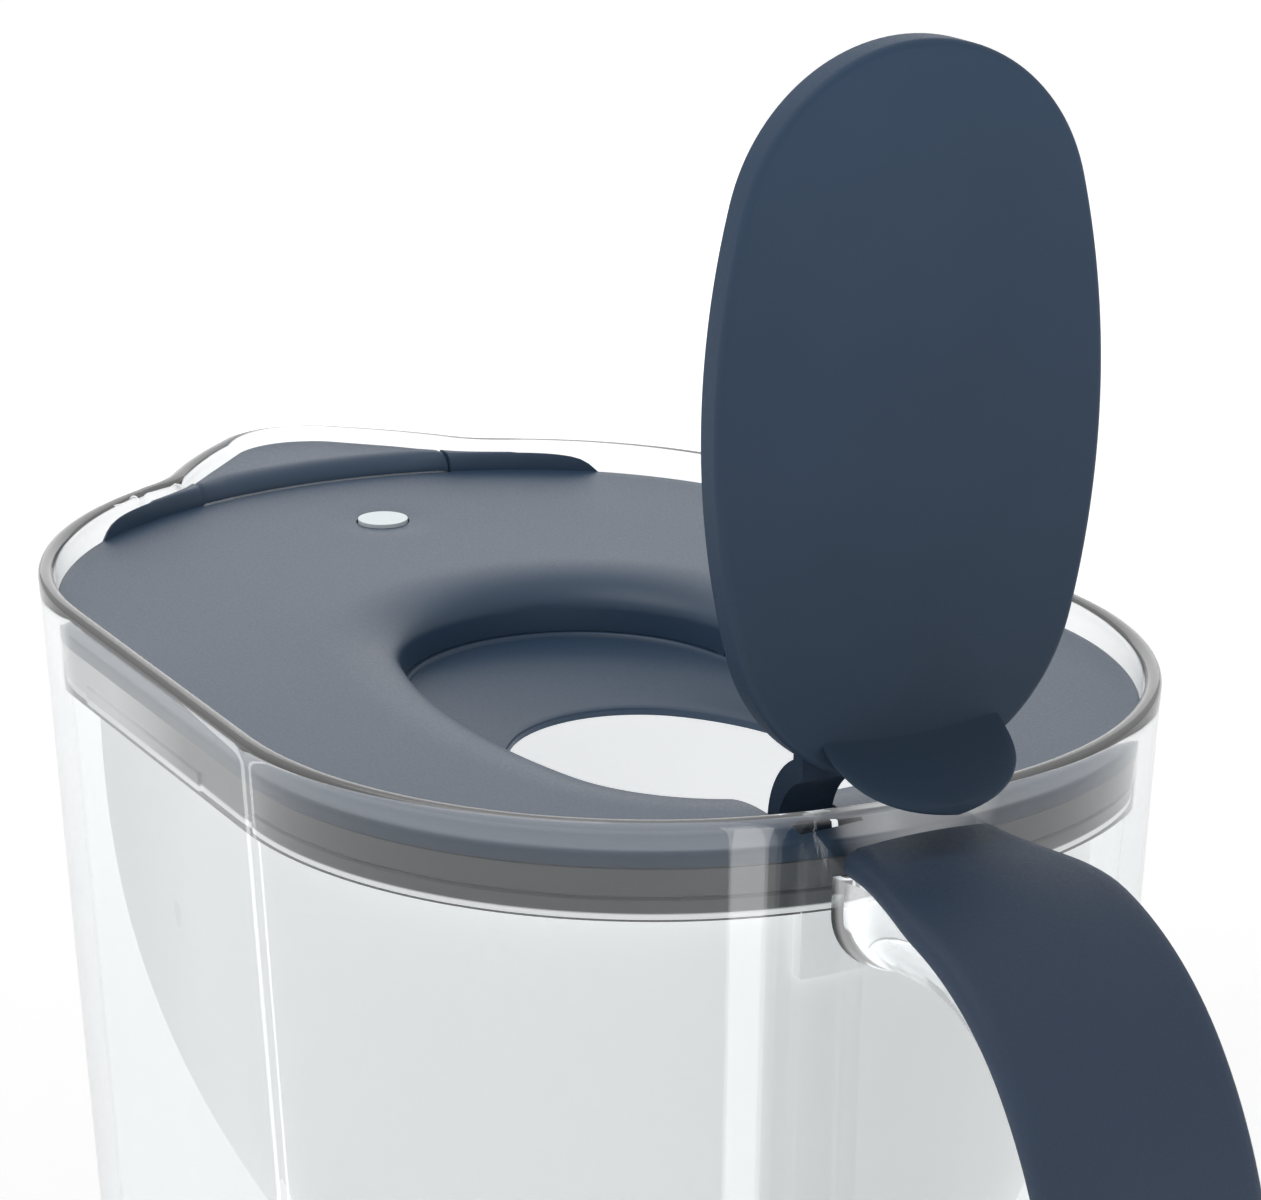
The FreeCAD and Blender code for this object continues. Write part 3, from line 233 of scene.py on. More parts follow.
def loft(rings, closed=False):
    """Quads between rings of equal count: a closed loft ends in its first ring, an open one in caps."""
    count = len(rings[0])
    verts = np.concatenate(rings)
    faces = []
    pairs = list(zip(range(len(rings)), range(1, len(rings))))
    if closed:
        pairs.append((len(rings) - 1, 0))
    for a, b in pairs:
        for i in range(count):
            j = (i + 1) % count
            faces.append((a * count + i, a * count + j, b * count + j, b * count + i))
    if not closed:
        faces.append(tuple(range(count)))
        last = (len(rings) - 1) * count
        faces.append(tuple(last + i for i in reversed(range(count))))
    return verts, faces


def add_loft(name, rings, body=None, material=None, sharp_deg=SHARP_DEG, closed=False):
    """Mesh of a loft. One that only joins or cuts another has no body and no material."""
    verts, faces = loft(rings, closed)
    return add_mesh(name, verts, faces, body, material, sharp_deg)


def boolean(obj, tools, operation):
    """Joins or cuts closed meshes for good and removes the tools."""
    for tool in tools:
        mod = obj.modifiers.new("bool", "BOOLEAN")
        mod.operation = operation
        mod.solver = "EXACT"
        mod.object = tool
        graph = bpy.context.evaluated_depsgraph_get()
        mesh = bpy.data.meshes.new_from_object(obj.evaluated_get(graph))
        obj.modifiers.clear()
        obj.data = mesh
        bpy.data.objects.remove(tool)


def block(name, low, high):
    corners = [(x, y, z) for z in (low[2], high[2])
               for x, y in ((low[0], low[1]), (high[0], low[1]), (high[0], high[1]), (low[0], high[1]))]
    return add_loft(name, [np.array(corners[:4]), np.array(corners[4:])])


# Outlines

def smooth_step(value):
    value = np.clip(value, 0, 1)
    return value * value * (3 - 2 * value)


def arc_points(x, y, radius, start_deg, end_deg, count):
    turn = np.radians(np.linspace(start_deg, end_deg, count))
    return np.stack([x + radius * np.cos(turn), y + radius * np.sin(turn)], 1)


def bearing(dx, dy):
    return math.degrees(math.atan2(dy, dx))


End = namedtuple("End", "corner_r nose_r nose_x corner_x")


def oval_end(corner_inset, nose_extra):
    """Arcs at one end of the jug: a flatter nose between two corners."""
    corner_r = HALF_WIDTH - corner_inset
    nose_x = REACH - corner_r - nose_extra
    corner_x = nose_x + math.sqrt(nose_extra ** 2 - corner_inset ** 2)
    return End(corner_r, corner_r + nose_extra, nose_x, corner_x)


REAR = oval_end(REAR_CORNER_INSET, REAR_NOSE_EXTRA)
FRONT = oval_end(FRONT_CORNER_INSET, FRONT_NOSE_EXTRA)


def oval_half(inset):
    """The upper half of the jug's outline without its spout, from the rear to the front."""
    tip = bearing(REAR.corner_x - REAR.nose_x, REAR_CORNER_INSET)
    front_tip = 180 - bearing(FRONT.corner_x - FRONT.nose_x, FRONT_CORNER_INSET)
    side = np.linspace(REAR.corner_x, -FRONT.corner_x, LINE_POINTS)
    return np.concatenate([
        arc_points(REAR.nose_x, 0, REAR.nose_r - inset, 0, tip, NOSE_POINTS),
        arc_points(REAR.corner_x, REAR_CORNER_INSET, REAR.corner_r - inset, tip, 90, CORNER_POINTS),
        np.stack([side, np.full(LINE_POINTS, HALF_WIDTH - inset)], 1),
        arc_points(-FRONT.corner_x, FRONT_CORNER_INSET, FRONT.corner_r - inset, 90, front_tip, CORNER_POINTS),
        arc_points(-FRONT.nose_x, 0, FRONT.nose_r - inset, front_tip, 180, NOSE_POINTS)])


def spout_half(inset, z):
    """The upper half of the spout's outline at a level, from the jug's corner to the tip."""
    tip_x = SPOUT_TIP_R - REACH - SPOUT_LENGTH
    root = math.radians(SPOUT_ROOT_DEG)
    blend_x = -FRONT.corner_x + (FRONT.corner_r + SPOUT_BLEND_R) * math.cos(root)
    blend_y = FRONT_CORNER_INSET + (FRONT.corner_r + SPOUT_BLEND_R) * math.sin(root)
    apart = math.hypot(blend_x - tip_x, blend_y)
    lean = math.degrees(math.acos((SPOUT_TIP_R + SPOUT_BLEND_R) / apart))
    out_deg = bearing(blend_x - tip_x, blend_y) + lean
    points = np.concatenate([
        arc_points(blend_x, blend_y, SPOUT_BLEND_R + inset, SPOUT_ROOT_DEG - 180, out_deg - 180,
                   SPOUT_POINTS),
        arc_points(tip_x, 0, SPOUT_TIP_R - inset, out_deg, 180, SPOUT_POINTS)])
    return points + np.array([(RIM_Z - z) * SLANT, 0])


def polar(points, angles, centre_x=0.0):
    """Radius of a half outline, seen from a point on the middle line; 0 where it has none."""
    around = np.arctan2(points[:, 1], points[:, 0] - centre_x)
    radius = np.hypot(points[:, 0] - centre_x, points[:, 1])
    order = np.argsort(around)
    return np.interp(angles, around[order], radius[order], left=0.0)


def full_turn(count):
    return 2 * math.pi * np.arange(count) / count


def folded(angles):
    """The same angles on the upper half."""
    return np.arccos(np.clip(np.cos(angles), -1, 1))


def jug_radius(angles, inset, spout_inset, z, centre_x=0.0):
    half = folded(angles)
    drop = max(RIM_Z - z, 0.0)
    base = polar(oval_half(inset + drop * DRAFT), half, centre_x)
    if drop >= SPOUT_DROP:
        return base
    lip = polar(spout_half(spout_inset, min(z, RIM_Z)), half, centre_x)
    soften = SPOUT_SOFTEN * min(1.0, drop / SPOUT_SOFTEN) + SOFTEN_LEAST
    near = np.clip(1 - np.abs(base - lip) / soften, 0, 1)
    return np.maximum(base, lip) + near ** 2 * soften / 4


def ring_at(angles, radius, z, centre_x=0.0):
    level = np.full(len(angles), 1.0) * z
    return np.stack([centre_x + radius * np.cos(angles), radius * np.sin(angles), level], 1)


def egg_half(half_length, half_width, end_r, grow, x):
    """The upper half of a long round outline of tangent arcs, from the rear to the front."""
    end_x = half_length - end_r
    side_r = (end_x ** 2 + half_width ** 2 - end_r ** 2) / (2 * (half_width - end_r))
    below = half_width - side_r
    tip = bearing(end_x, -below)
    return np.concatenate([
        arc_points(x + end_x, 0, end_r + grow, 0, tip, EGG_END_POINTS),
        arc_points(x, below, side_r + grow, tip, 180 - tip, EGG_SIDE_POINTS),
        arc_points(x - end_x, 0, end_r + grow, 180 - tip, 180, EGG_END_POINTS)])


def flap_radius(angles, grow):
    points = egg_half(FLAP_HALF_LENGTH, FLAP_HALF_WIDTH, FLAP_END_R, grow, FLAP_X)
    return polar(points, folded(angles), FLAP_X)


# Materials

def new_material(name):
    material = bpy.data.materials.new(name)
    material.use_nodes = True
    shader = material.node_tree.nodes["Principled BSDF"]
    return material, material.node_tree, shader


def own_place(tree):
    """Place in the piece's own coordinates."""
    return tree.nodes.new("ShaderNodeTexCoord").outputs["Object"]


def noise(tree, scale, detail=3.0):
    tex = tree.nodes.new("ShaderNodeTexNoise")
    tex.inputs["Scale"].default_value = scale
    tex.inputs["Detail"].default_value = detail
    tree.links.new(own_place(tree), tex.inputs["Vector"])
    return tex.outputs["Fac"]


def split_axes(tree):
    """The piece's own X, Y and Z."""
    axes = tree.nodes.new("ShaderNodeSeparateXYZ")
    tree.links.new(own_place(tree), axes.inputs["Vector"])
    return axes.outputs


def span(tree, source, given, wanted):
    """Maps one range of values to another."""
    node = tree.nodes.new("ShaderNodeMapRange")
    node.inputs["From Min"].default_value, node.inputs["From Max"].default_value = given
    node.inputs["To Min"].default_value, node.inputs["To Max"].default_value = wanted
    tree.links.new(source, node.inputs["Value"])
    return node.outputs["Result"]


def combine(tree, operation, first, second):
    node = tree.nodes.new("ShaderNodeMath")
    node.operation = operation
    tree.links.new(first, node.inputs[0])
    tree.links.new(second, node.inputs[1])
    return node.outputs["Value"]


def ramp(tree, source, low, high):
    """Spreads the middle of a noise over a range."""
    return span(tree, source, NOISE_MIDDLE, (low, high))


def painted_light_rising(tree, levels):
    """Painted light: grows from one level to another, with a cloudy course."""
    wander = ramp(tree, noise(tree, CLOUD_SCALE), -PAINTED_LIGHT_WANDER, PAINTED_LIGHT_WANDER)
    height = combine(tree, "ADD", split_axes(tree)["Z"], wander)
    return span(tree, height, levels, NOISE_MIDDLE)


def colour_mix(tree, source, first, second):
    node = tree.nodes.new("ShaderNodeValToRGB")
    node.color_ramp.elements[0].position, node.color_ramp.elements[1].position = NOISE_MIDDLE
    node.color_ramp.elements[0].color = (*first, 1)
    node.color_ramp.elements[1].color = (*second, 1)
    tree.links.new(source, node.inputs["Fac"])
    return node.outputs["Color"]


def bump(tree, shader, source, strength, distance):
    node = tree.nodes.new("ShaderNodeBump")
    node.inputs["Strength"].default_value = strength
    node.inputs["Distance"].default_value = distance
    tree.links.new(source, node.inputs["Height"])
    tree.links.new(node.outputs["Normal"], shader.inputs["Normal"])


def moulded(name, colour, rough, vary=0.05, grain=2600.0, grain_depth=0.00003, painted_light_levels=None, **sockets):
    """Moulded plastic or rubber: cloudy colour, or painted light that lightens it with height, and a fine
    grain.
    """
    material, tree, shader = new_material(name)
    low = tuple(c * (1 - vary) for c in colour)
    high = tuple(c * (1 + vary) for c in colour)
    cloud_or_painted_light = painted_light_rising(tree, painted_light_levels) if painted_light_levels else noise(tree, CLOUD_SCALE)
    fine = noise(tree, grain, GRAIN_DETAIL)
    tree.links.new(colour_mix(tree, cloud_or_painted_light, low, high), shader.inputs["Base Color"])
    finish = ramp(tree, fine, rough * (1 - ROUGH_VARY), rough * (1 + ROUGH_VARY))
    tree.links.new(finish, shader.inputs["Roughness"])
    bump(tree, shader, fine, GRAIN_STRENGTH, grain_depth)
    for socket, value in sockets.items():
        shader.inputs[socket.replace("_", " ")].default_value = value
    return material


def clear_plastic():
    material, tree, shader = new_material("clear_plastic")
    shader.inputs["Base Color"].default_value = (0.985, 0.992, 0.992, 1)
    shader.inputs["Transmission Weight"].default_value = 1.0
    shader.inputs["IOR"].default_value = 1.49
    depth = tree.nodes.new("ShaderNodeVolumeAbsorption")
    depth.inputs["Color"].default_value = (0.55, 0.68, 0.76, 1)
    depth.inputs["Density"].default_value = 20.0
    tree.links.new(depth.outputs["Volume"], tree.nodes["Material Output"].inputs["Volume"])
    axes = split_axes(tree)
    # Painted highlight on the rim's top and painted light on the handle's core, as emission.
    rim = span(tree, axes["Z"], (RIM_Z - RIM_HIGHLIGHT_DEPTH, RIM_Z), (0.0, RIM_PAINTED_HIGHLIGHT))
    core = combine(tree, "MULTIPLY", span(tree, axes["X"], CORE_LIGHT_X, (0.0, 1.0)),
                   span(tree, axes["X"], CORE_LIGHT_FADE_X, (CORE_ROOT_PAINTED_LIGHT, CORE_PAINTED_LIGHT)))
    shader.inputs["Emission Color"].default_value = (1, 1, 1, 1)
    tree.links.new(combine(tree, "MAXIMUM", rim, core), shader.inputs["Emission Strength"])
    tree.links.new(ramp(tree, noise(tree, CLEAR_CLOUD_SCALE), *CLEAR_ROUGH), shader.inputs["Roughness"])
    return material


def milky_plastic():
    """Translucent white with painted light, a glow for the light that it carries inside that is dimmer
    outside towards the front, and painted shade that greys the collar under the dark lid.
    """
    material, tree, shader = new_material("milky_plastic")
    axes = split_axes(tree)
    level = span(tree, axes["Z"], (LEDGE_Z + COLLAR_SHADE_FADE, LEDGE_Z + COLLAR_SHADE_FADE * 3), (0.0, 1.0))
    # Painted shade: the collar turns grey, less so towards the front.
    collar_shade = combine(tree, "MULTIPLY", level, span(tree, axes["X"], COLLAR_SHADE_X, (COLLAR_FRONT_SHADE_SHARE, 1.0)))
    tree.links.new(colour_mix(tree, collar_shade, MILKY_WHITE, COLLAR_PAINTED_SHADE), shader.inputs["Base Color"])
    # Painted light: emission for the light carried inside, dimmer outside towards the front.
    glow = tree.nodes.new("ShaderNodeMix")
    tree.links.new(inside_share(tree), glow.inputs["Factor"])
    outside = span(tree, axes["X"], FRONT_SHADE_X, (OUTSIDE_GLOW * FRONT_GLOW_SHARE, OUTSIDE_GLOW))
    tree.links.new(outside, glow.inputs["A"])
    glow.inputs["B"].default_value = INSIDE_GLOW
    tree.links.new(glow.outputs["Result"], shader.inputs["Emission Strength"])
    # The painted shade at the collar also takes away its glow.
    tree.links.new(colour_mix(tree, collar_shade, (1, 1, 1), (0, 0, 0)), shader.inputs["Emission Color"])
    fine = noise(tree, MILKY_GRAIN, GRAIN_DETAIL)
    tree.links.new(ramp(tree, fine, *MILKY_ROUGH), shader.inputs["Roughness"])
    bump(tree, shader, fine, MILKY_GRAIN_STRENGTH, MILKY_GRAIN_DEPTH)
    return material


def inside_share(tree):
    """0 on faces that look out from the middle line, 1 on faces that look in to it."""
    coords = tree.nodes.new("ShaderNodeTexCoord")
    flat = tree.nodes.new("ShaderNodeVectorMath")
    flat.operation = "MULTIPLY"
    flat.inputs[1].default_value = (1, 1, 0)
    tree.links.new(coords.outputs["Object"], flat.inputs[0])
    dot = tree.nodes.new("ShaderNodeVectorMath")
    dot.operation = "DOT_PRODUCT"
    tree.links.new(flat.outputs["Vector"], dot.inputs[0])
    tree.links.new(coords.outputs["Normal"], dot.inputs[1])
    return span(tree, dot.outputs["Value"], (INSIDE_DOT, -INSIDE_DOT), (0.0, 1.0))


def metal(name, colour, rough):
    material, tree, shader = new_material(name)
    fine = noise(tree, METAL_GRAIN)
    shader.inputs["Metallic"].default_value = 1.0
    low = tuple(c * METAL_DARK_SHARE for c in colour)
    tree.links.new(colour_mix(tree, fine, low, colour), shader.inputs["Base Color"])
    finish = ramp(tree, fine, rough * (1 - METAL_ROUGH_VARY), rough * (1 + METAL_ROUGH_VARY))
    tree.links.new(finish, shader.inputs["Roughness"])
    return material


def mesh_screen(name, colour, cell):
    """Fine woven screen: light cells with darker holes."""
    material, tree, shader = new_material(name)
    tex = tree.nodes.new("ShaderNodeTexVoronoi")
    tex.inputs["Scale"].default_value = 1 / cell
    tree.links.new(own_place(tree), tex.inputs["Vector"])
    dark = tuple(c * HOLE_DARK_SHARE for c in colour)
    tree.links.new(colour_mix(tree, tex.outputs["Distance"], dark, colour), shader.inputs["Base Color"])
    shader.inputs["Roughness"].default_value = 0.8
    bump(tree, shader, tex.outputs["Distance"], CELL_STRENGTH, cell / 4)
    return material


def make_materials():
    blue = (0.032, 0.060, 0.106)
    return {
        "clear_plastic": clear_plastic(),
        "soft_touch_blue": moulded("soft_touch_blue", (0.026, 0.049, 0.092), 0.6),
        # The fill flap's colour is painted lighter towards its top, as painted light.
        "flap_blue": moulded("flap_blue", blue, 0.55, 0.28, painted_light_levels=FLAP_PAINTED_LIGHT_LEVELS, Specular_IOR_Level=0.25),
        "lid_blue": moulded("lid_blue", (0.030, 0.062, 0.112), 0.42),
        "pod_blue": moulded("pod_blue", (0.045, 0.062, 0.09), 0.55),
        "milky_plastic": milky_plastic(),
        "cartridge_white": moulded("cartridge_white", (0.80, 0.80, 0.79), 0.4, 0.03),
        "indicator_white": moulded("indicator_white", (0.80, 0.88, 0.91), 0.35, 0.02),
        "foot_rubber": moulded("foot_rubber", (0.03, 0.038, 0.05), 0.8, 0.1, 900.0),
        "seal_rubber": moulded("seal_rubber", (0.025, 0.025, 0.027), 0.7, 0.1, 1200.0),
        "screen_mesh": mesh_screen("screen_mesh", (0.75, 0.75, 0.72), 0.0006),
        "filter_granules": mesh_screen("filter_granules", (0.09, 0.085, 0.08), 0.0011),
        "circuit_board": moulded("circuit_board", (0.02, 0.12, 0.05), 0.35, 0.15),
        "switch_black": moulded("switch_black", (0.015, 0.015, 0.016), 0.35),
        "lamp_white": moulded("lamp_white", (0.85, 0.83, 0.70), 0.2, 0.03),
        "cell_steel": metal("cell_steel", (0.60, 0.60, 0.58), 0.3),
        "contact_brass": metal("contact_brass", (0.72, 0.55, 0.25), 0.35),
        "screw_steel": metal("screw_steel", (0.52, 0.52, 0.54), 0.32),
        "pin_steel": metal("pin_steel", (0.58, 0.58, 0.60), 0.25),
    }


materials = make_materials()
slot_of = {s["node"]: s["material_slot"] for s in frame["record"]["subparts"]}


def finish_piece(obj, *nodes):
    """A piece that stands for CAD nodes hides them."""
    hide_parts(*nodes)


# Jug

def jug_outer_levels():
    """Heights and insets of the outside, from the middle of the base up to the rim's round edge."""
    levels = [(FOOT_LIFT, FOOT_CAP_INSET)]
    for t in BOTTOM_TURNS:
        levels.append((FOOT_LIFT + BOTTOM_ROUND * (1 - math.cos(t)), BOTTOM_ROUND * (1 - math.sin(t))))
    heights = [*np.linspace(levels[-1][0], SPOUT_FOOT_Z, WALL_RINGS)[1:],
               *np.linspace(SPOUT_FOOT_Z, RIM_EDGE_Z, SPOUT_RINGS)[1:]]
    return levels + [(z, 0.0) for z in heights]


def jug_inner_levels():
    """Heights and insets of the inside, from the rim's round edge over the ledge down to the floor."""
    floor_r, floor_z = BOTTOM_ROUND - WALL, FOOT_LIFT + FLOOR
    levels = [(z, RIM_WALL) for z in np.linspace(RIM_EDGE_Z, LEDGE_Z, LEDGE_RINGS)[1:]]
    levels.append((LEDGE_Z - LEDGE_STEP, WALL))
    levels += [(z, WALL) for z in np.linspace(LEDGE_Z, SPOUT_FOOT_Z, INNER_SPOUT_RINGS)[1:]]
    levels += [(z, WALL) for z in np.linspace(SPOUT_FOOT_Z, floor_z + floor_r, WALL_RINGS)[1:]]
    for t in reversed(BOTTOM_TURNS[:-1]):
        levels.append((floor_z + floor_r * (1 - math.cos(t)), WALL + floor_r * (1 - math.sin(t))))
    return levels


def jug_rings():
    angles = full_turn(JUG_SEGMENTS)
    rings = [ring_at(angles, jug_radius(angles, inset, inset, z), z) for z, inset in jug_outer_levels()]
    rim_r = RIM_Z - RIM_EDGE_Z
    for t in np.radians(np.linspace(0, 180, RIM_RINGS))[1:]:
        inset = rim_r * (1 - math.cos(t))
        z = RIM_EDGE_Z + rim_r * math.sin(t)
        rings.append(ring_at(angles, jug_radius(angles, inset, inset, RIM_EDGE_Z), z))
    rings += [ring_at(angles, jug_radius(angles, inset, RIM_WALL, z), z) for z, inset in jug_inner_levels()]
    return rings


def bend(start, radius, from_deg, to_deg, depth):
    """An arc of the handle's line, moved in by a depth, and the place where the line goes on."""
    turn = math.radians(from_deg)
    x, z = start[0] - radius * math.cos(turn), start[1] - radius * math.sin(turn)
    points = []
    for normal_deg in np.linspace(from_deg, to_deg, ARC_STEPS):
        turn = math.radians(normal_deg)
        reach = radius - depth
        points.append((x + reach * math.cos(turn), z + reach * math.sin(turn), normal_deg))
    return points, (x + radius * math.cos(turn), z + radius * math.sin(turn))


def handle_path(depth):
    """Places and outward directions of the handle's line in the middle plane, moved in by a depth."""
    place = (REACH + HANDLE_TOP_RUN, HANDLE_TOP_Z)
    normal_deg = 90.0
    wall_x = REACH - (RIM_Z - HANDLE_TOP_Z) * DRAFT
    path = [(x, HANDLE_TOP_Z - depth, normal_deg) for x in np.linspace(wall_x, place[0], ROOT_STEPS)[:-1]]
    for radius, turn_deg in HANDLE_ARCS:
        points, place = bend(place, radius, normal_deg, normal_deg - turn_deg, depth)
        path += points[:-1]
        normal_deg -= turn_deg
    normal = np.array([math.cos(math.radians(normal_deg)), math.sin(math.radians(normal_deg))])
    run = np.array([normal[1], -normal[0]]) * HANDLE_RUN
    for share in np.linspace(0, 1, RUN_STEPS)[:-1]:
        path.append((*(np.array(place) + run * share - normal * depth), normal_deg))
    path += bend(np.array(place) + run, HANDLE_LOWER_R, normal_deg, -90.0, depth)[0]
    low_x, low_z, normal_deg = path[-1]
    wall_x = REACH - (RIM_Z - low_z) * DRAFT
    path += [(x, low_z, normal_deg) for x in np.linspace(low_x, wall_x, ROOT_STEPS)[1:]]
    return path


def sweep(path, section_at, end_shift):
    """Rings of a section along the handle; the two ends are moved towards the wall by a shift."""
    rings = []
    for i, (x, z, normal_deg) in enumerate(path):
        n = math.radians(normal_deg)
        if i in (0, len(path) - 1):
            x -= end_shift
        section = section_at(x)
        rings.append(np.stack([x + section[:, 1] * math.cos(n), section[:, 0],
                               z + section[:, 1] * math.sin(n)], 1))
    return rings


def grip_section(x):
    """Rounded flat bar: crowned top, soft edges; second value is out of the handle's line."""
    share = smooth_step((x - REACH) / GRIP_WIDEN)
    half = (GRIP_ROOT_WIDTH + (GRIP_WIDTH - GRIP_ROOT_WIDTH) * share) / 2
    r = GRIP_EDGE_R
    flat = half - r
    turns = np.radians(np.linspace(0, 90, GRIP_EDGE_POINTS))
    top = [(y, -GRIP_CROWN * (y / half) ** 2) for y in np.linspace(-flat, flat, GRIP_TOP_POINTS)]
    right = [(flat + r * math.sin(a), r * math.cos(a) - r - GRIP_CROWN) for a in turns[1:]]
    low = [(flat + r * math.cos(a), r - GRIP_THICK - r * math.sin(a)) for a in turns]
    under = [(y, -GRIP_THICK) for y in np.linspace(flat, -flat, GRIP_UNDER_POINTS)[1:-1]]
    low_left = [(-y, n) for y, n in reversed(low)]
    left = [(-y, n) for y, n in reversed(right)]
    return np.array(top + right + low + under + low_left + left)


def core_section(x):
    """Clear channel under the grip: a round keel with a hollow, flared where it meets the wall."""
    flare = 1 + CORE_FLARE_SHARE * math.exp(-max(x - REACH, 0.0) / CORE_FLARE_LENGTH)
    turns = np.radians(np.linspace(0, 90, CORE_POINTS))

    def keel(inset):
        half, depth, r = (v * flare - inset for v in (CORE_WIDTH / 2, CORE_DEPTH, CORE_ROUND))
        right = [(half - r + r * math.cos(a), r - depth - r * math.sin(a)) for a in turns]
        return [(half, CORE_SINK)] + right + [(-y, n) for y, n in reversed(right)] + [(-half, CORE_SINK)]

    return np.array(keel(0) + list(reversed(keel(CORE_WALL))))


def make_jug():
    jug = add_loft("jug_shell", jug_rings(), material=materials["clear_plastic"])
    core = add_loft("handle_core", sweep(handle_path(GRIP_THICK), core_section, WALL / 2))
    boolean(jug, [core], "UNION")
    shade(jug, CUT_SHARP_DEG)
    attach(jug, "jug")
    finish_piece(jug, "jug_body")


def make_grip():
    rings = sweep(handle_path(0.0), grip_section, -GRIP_GAP)
    grip = add_loft("grip_cover", rings, "jug", materials["soft_touch_blue"], GRIP_SHARP_DEG)
    finish_piece(grip, "handle_grip")


# Funnel

def bowl_radius(angles, z, grow):
    """Outline of the bowl at a level: wide under the collar, drawn in faster towards the floor."""
    share = min(max((BOWL_TOP_Z - z) / (BOWL_TOP_Z - BOWL_FLOOR_Z), 0.0), 1.0) ** BOWL_POWER
    x, half_length, half_width, end_r = BOWL_TOP + (BOWL_FLOOR - BOWL_TOP) * share
    points = egg_half(half_length, half_width, end_r, grow, x)
    return polar(points, folded(angles), FUNNEL_CENTRE_X)


def socket_radius(angles, radius):
    points = arc_points(SOCKET_X, 0, radius, 0, 180, SOCKET_POINTS)
    return polar(points, folded(angles), FUNNEL_CENTRE_X)


def collar_radius(angles, inset, z):
    points = oval_half(inset + (RIM_Z - z) * DRAFT)
    return polar(points, folded(angles), FUNNEL_CENTRE_X)


def collar_levels(angles):
    """Outside of the collar, from its top past a fine groove down to its seat on the jug's ledge."""
    groove = COLLAR_GROOVE
    rows = [(COLLAR_TOP_Z, groove), (COLLAR_TOP_Z - groove, 0), (COLLAR_GROOVE_Z + groove, 0),
            (COLLAR_GROOVE_Z, groove), (COLLAR_GROOVE_Z - groove, 0), (SEAT_Z, 0)]
    levels = [(collar_radius(angles, COLLAR_INSET + inset, z), z) for z, inset in rows]
    seat = collar_radius(angles, WALL + COLLAR_GAP, SEAT_Z)
    levels.append((np.minimum(seat, bowl_radius(angles, BOWL_TOP_Z, FUNNEL_WALL)), SEAT_Z))
    return levels


def funnel_rings():
    """Once round the wall: collar, outside of the bowl, socket, inside of the bowl, inside of the collar."""
    angles = full_turn(FUNNEL_SEGMENTS)
    wall = FUNNEL_WALL
    heights = np.linspace(BOWL_TOP_Z, BOWL_FLOOR_Z, BOWL_RINGS)
    levels = collar_levels(angles)
    levels += [(bowl_radius(angles, z, 0), z) for z in heights]
    foot, under = BOWL_FLOOR_Z - SOCKET_LENGTH, BOWL_FLOOR_Z - wall
    socket, socket_outside = socket_radius(angles, SOCKET_R), socket_radius(angles, SOCKET_R + wall)
    levels += [(bowl_radius(angles, BOWL_FLOOR_Z, -wall), under), (socket_outside, under)]
    levels += [(socket_outside, foot), (socket, foot), (socket, BOWL_FLOOR_Z)]
    levels += [(bowl_radius(angles, z, -wall), z) for z in reversed(heights)]
    flange, inside = SEAT_Z + wall, COLLAR_INSET + COLLAR_THICK
    levels += [(bowl_radius(angles, BOWL_TOP_Z, -wall), flange)]
    levels += [(collar_radius(angles, inside, z), z) for z in (flange, COLLAR_TOP_Z)]
    return [ring_at(angles, radius, z, FUNNEL_CENTRE_X) for radius, z in levels]


def funnel_cuts():
    """Room for the flap's hinge, passage of the poured water and vents low in the collar."""
    cuts = [block("bay_room", (FLAP_X + FLAP_END_R, -BAY_HALF, BAY_Z), (BAY_X[1], BAY_HALF, RIM_Z)),
            block("pour_passage", (-REACH - SPOUT_LENGTH, -POUR_HALF, BOWL_TOP_Z - SPOUT_DROP / 3),
                  (POUR_X, POUR_HALF, RIM_Z))]
    for x, half in VENTS:
        for side in (-1, 1):
            face = side * (HALF_WIDTH - COLLAR_INSET - VENT_DEPTH)
            low, high = sorted((face, side * HALF_WIDTH))
            cuts.append(block("vent", (x - half, low, LEDGE_Z - COLLAR_GROOVE),
                              (x + half, high, LEDGE_Z + VENT_HEIGHT)))
    return cuts


def make_funnel():
    funnel = add_loft("funnel_bowl", funnel_rings(), material=materials["milky_plastic"], closed=True)
    bay = block("hinge_bay", (BAY_X[0] - BAY_WALL, -BAY_HALF - BAY_WALL, BAY_Z - BAY_WALL),
                (BAY_X[1] + BAY_WALL, BAY_HALF + BAY_WALL, COLLAR_TOP_Z - COLLAR_THICK))
    boolean(funnel, [bay], "UNION")
    boolean(funnel, funnel_cuts(), "DIFFERENCE")
    shade(funnel, CUT_SHARP_DEG)
    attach(funnel, "funnel")
    finish_piece(funnel, "funnel")


# Lid

def lid_height(x, y, ridge_r=RIDGE_R):
    """The lid's top: level border, raised front crescent and the dimple round the indicator."""
    out = np.hypot(x - RIDGE_X, y) - ridge_r
    around = np.arctan2(y, x - RIDGE_X)
    room = jug_radius(around, LID_INSET, LID_INSET, LID_Z, RIDGE_X) - RIDGE_R
    run = np.clip(room * RIDGE_RUN_SHARE, LID_EDGE_R / 2, RIDGE_RUN)
    rest = 1 - np.clip(out / run, 0, 1)
    raised = np.where(x < RIDGE_X, (1 - rest ** RIDGE_POWER) ** (1 / RIDGE_POWER), 0.0)
    dimple = 1 - smooth_step(np.hypot(x - INDICATOR_X, y) / DIMPLE_R)
    return LID_Z + (RIDGE_Z - LID_Z) * raised - DIMPLE_DEPTH * dimple


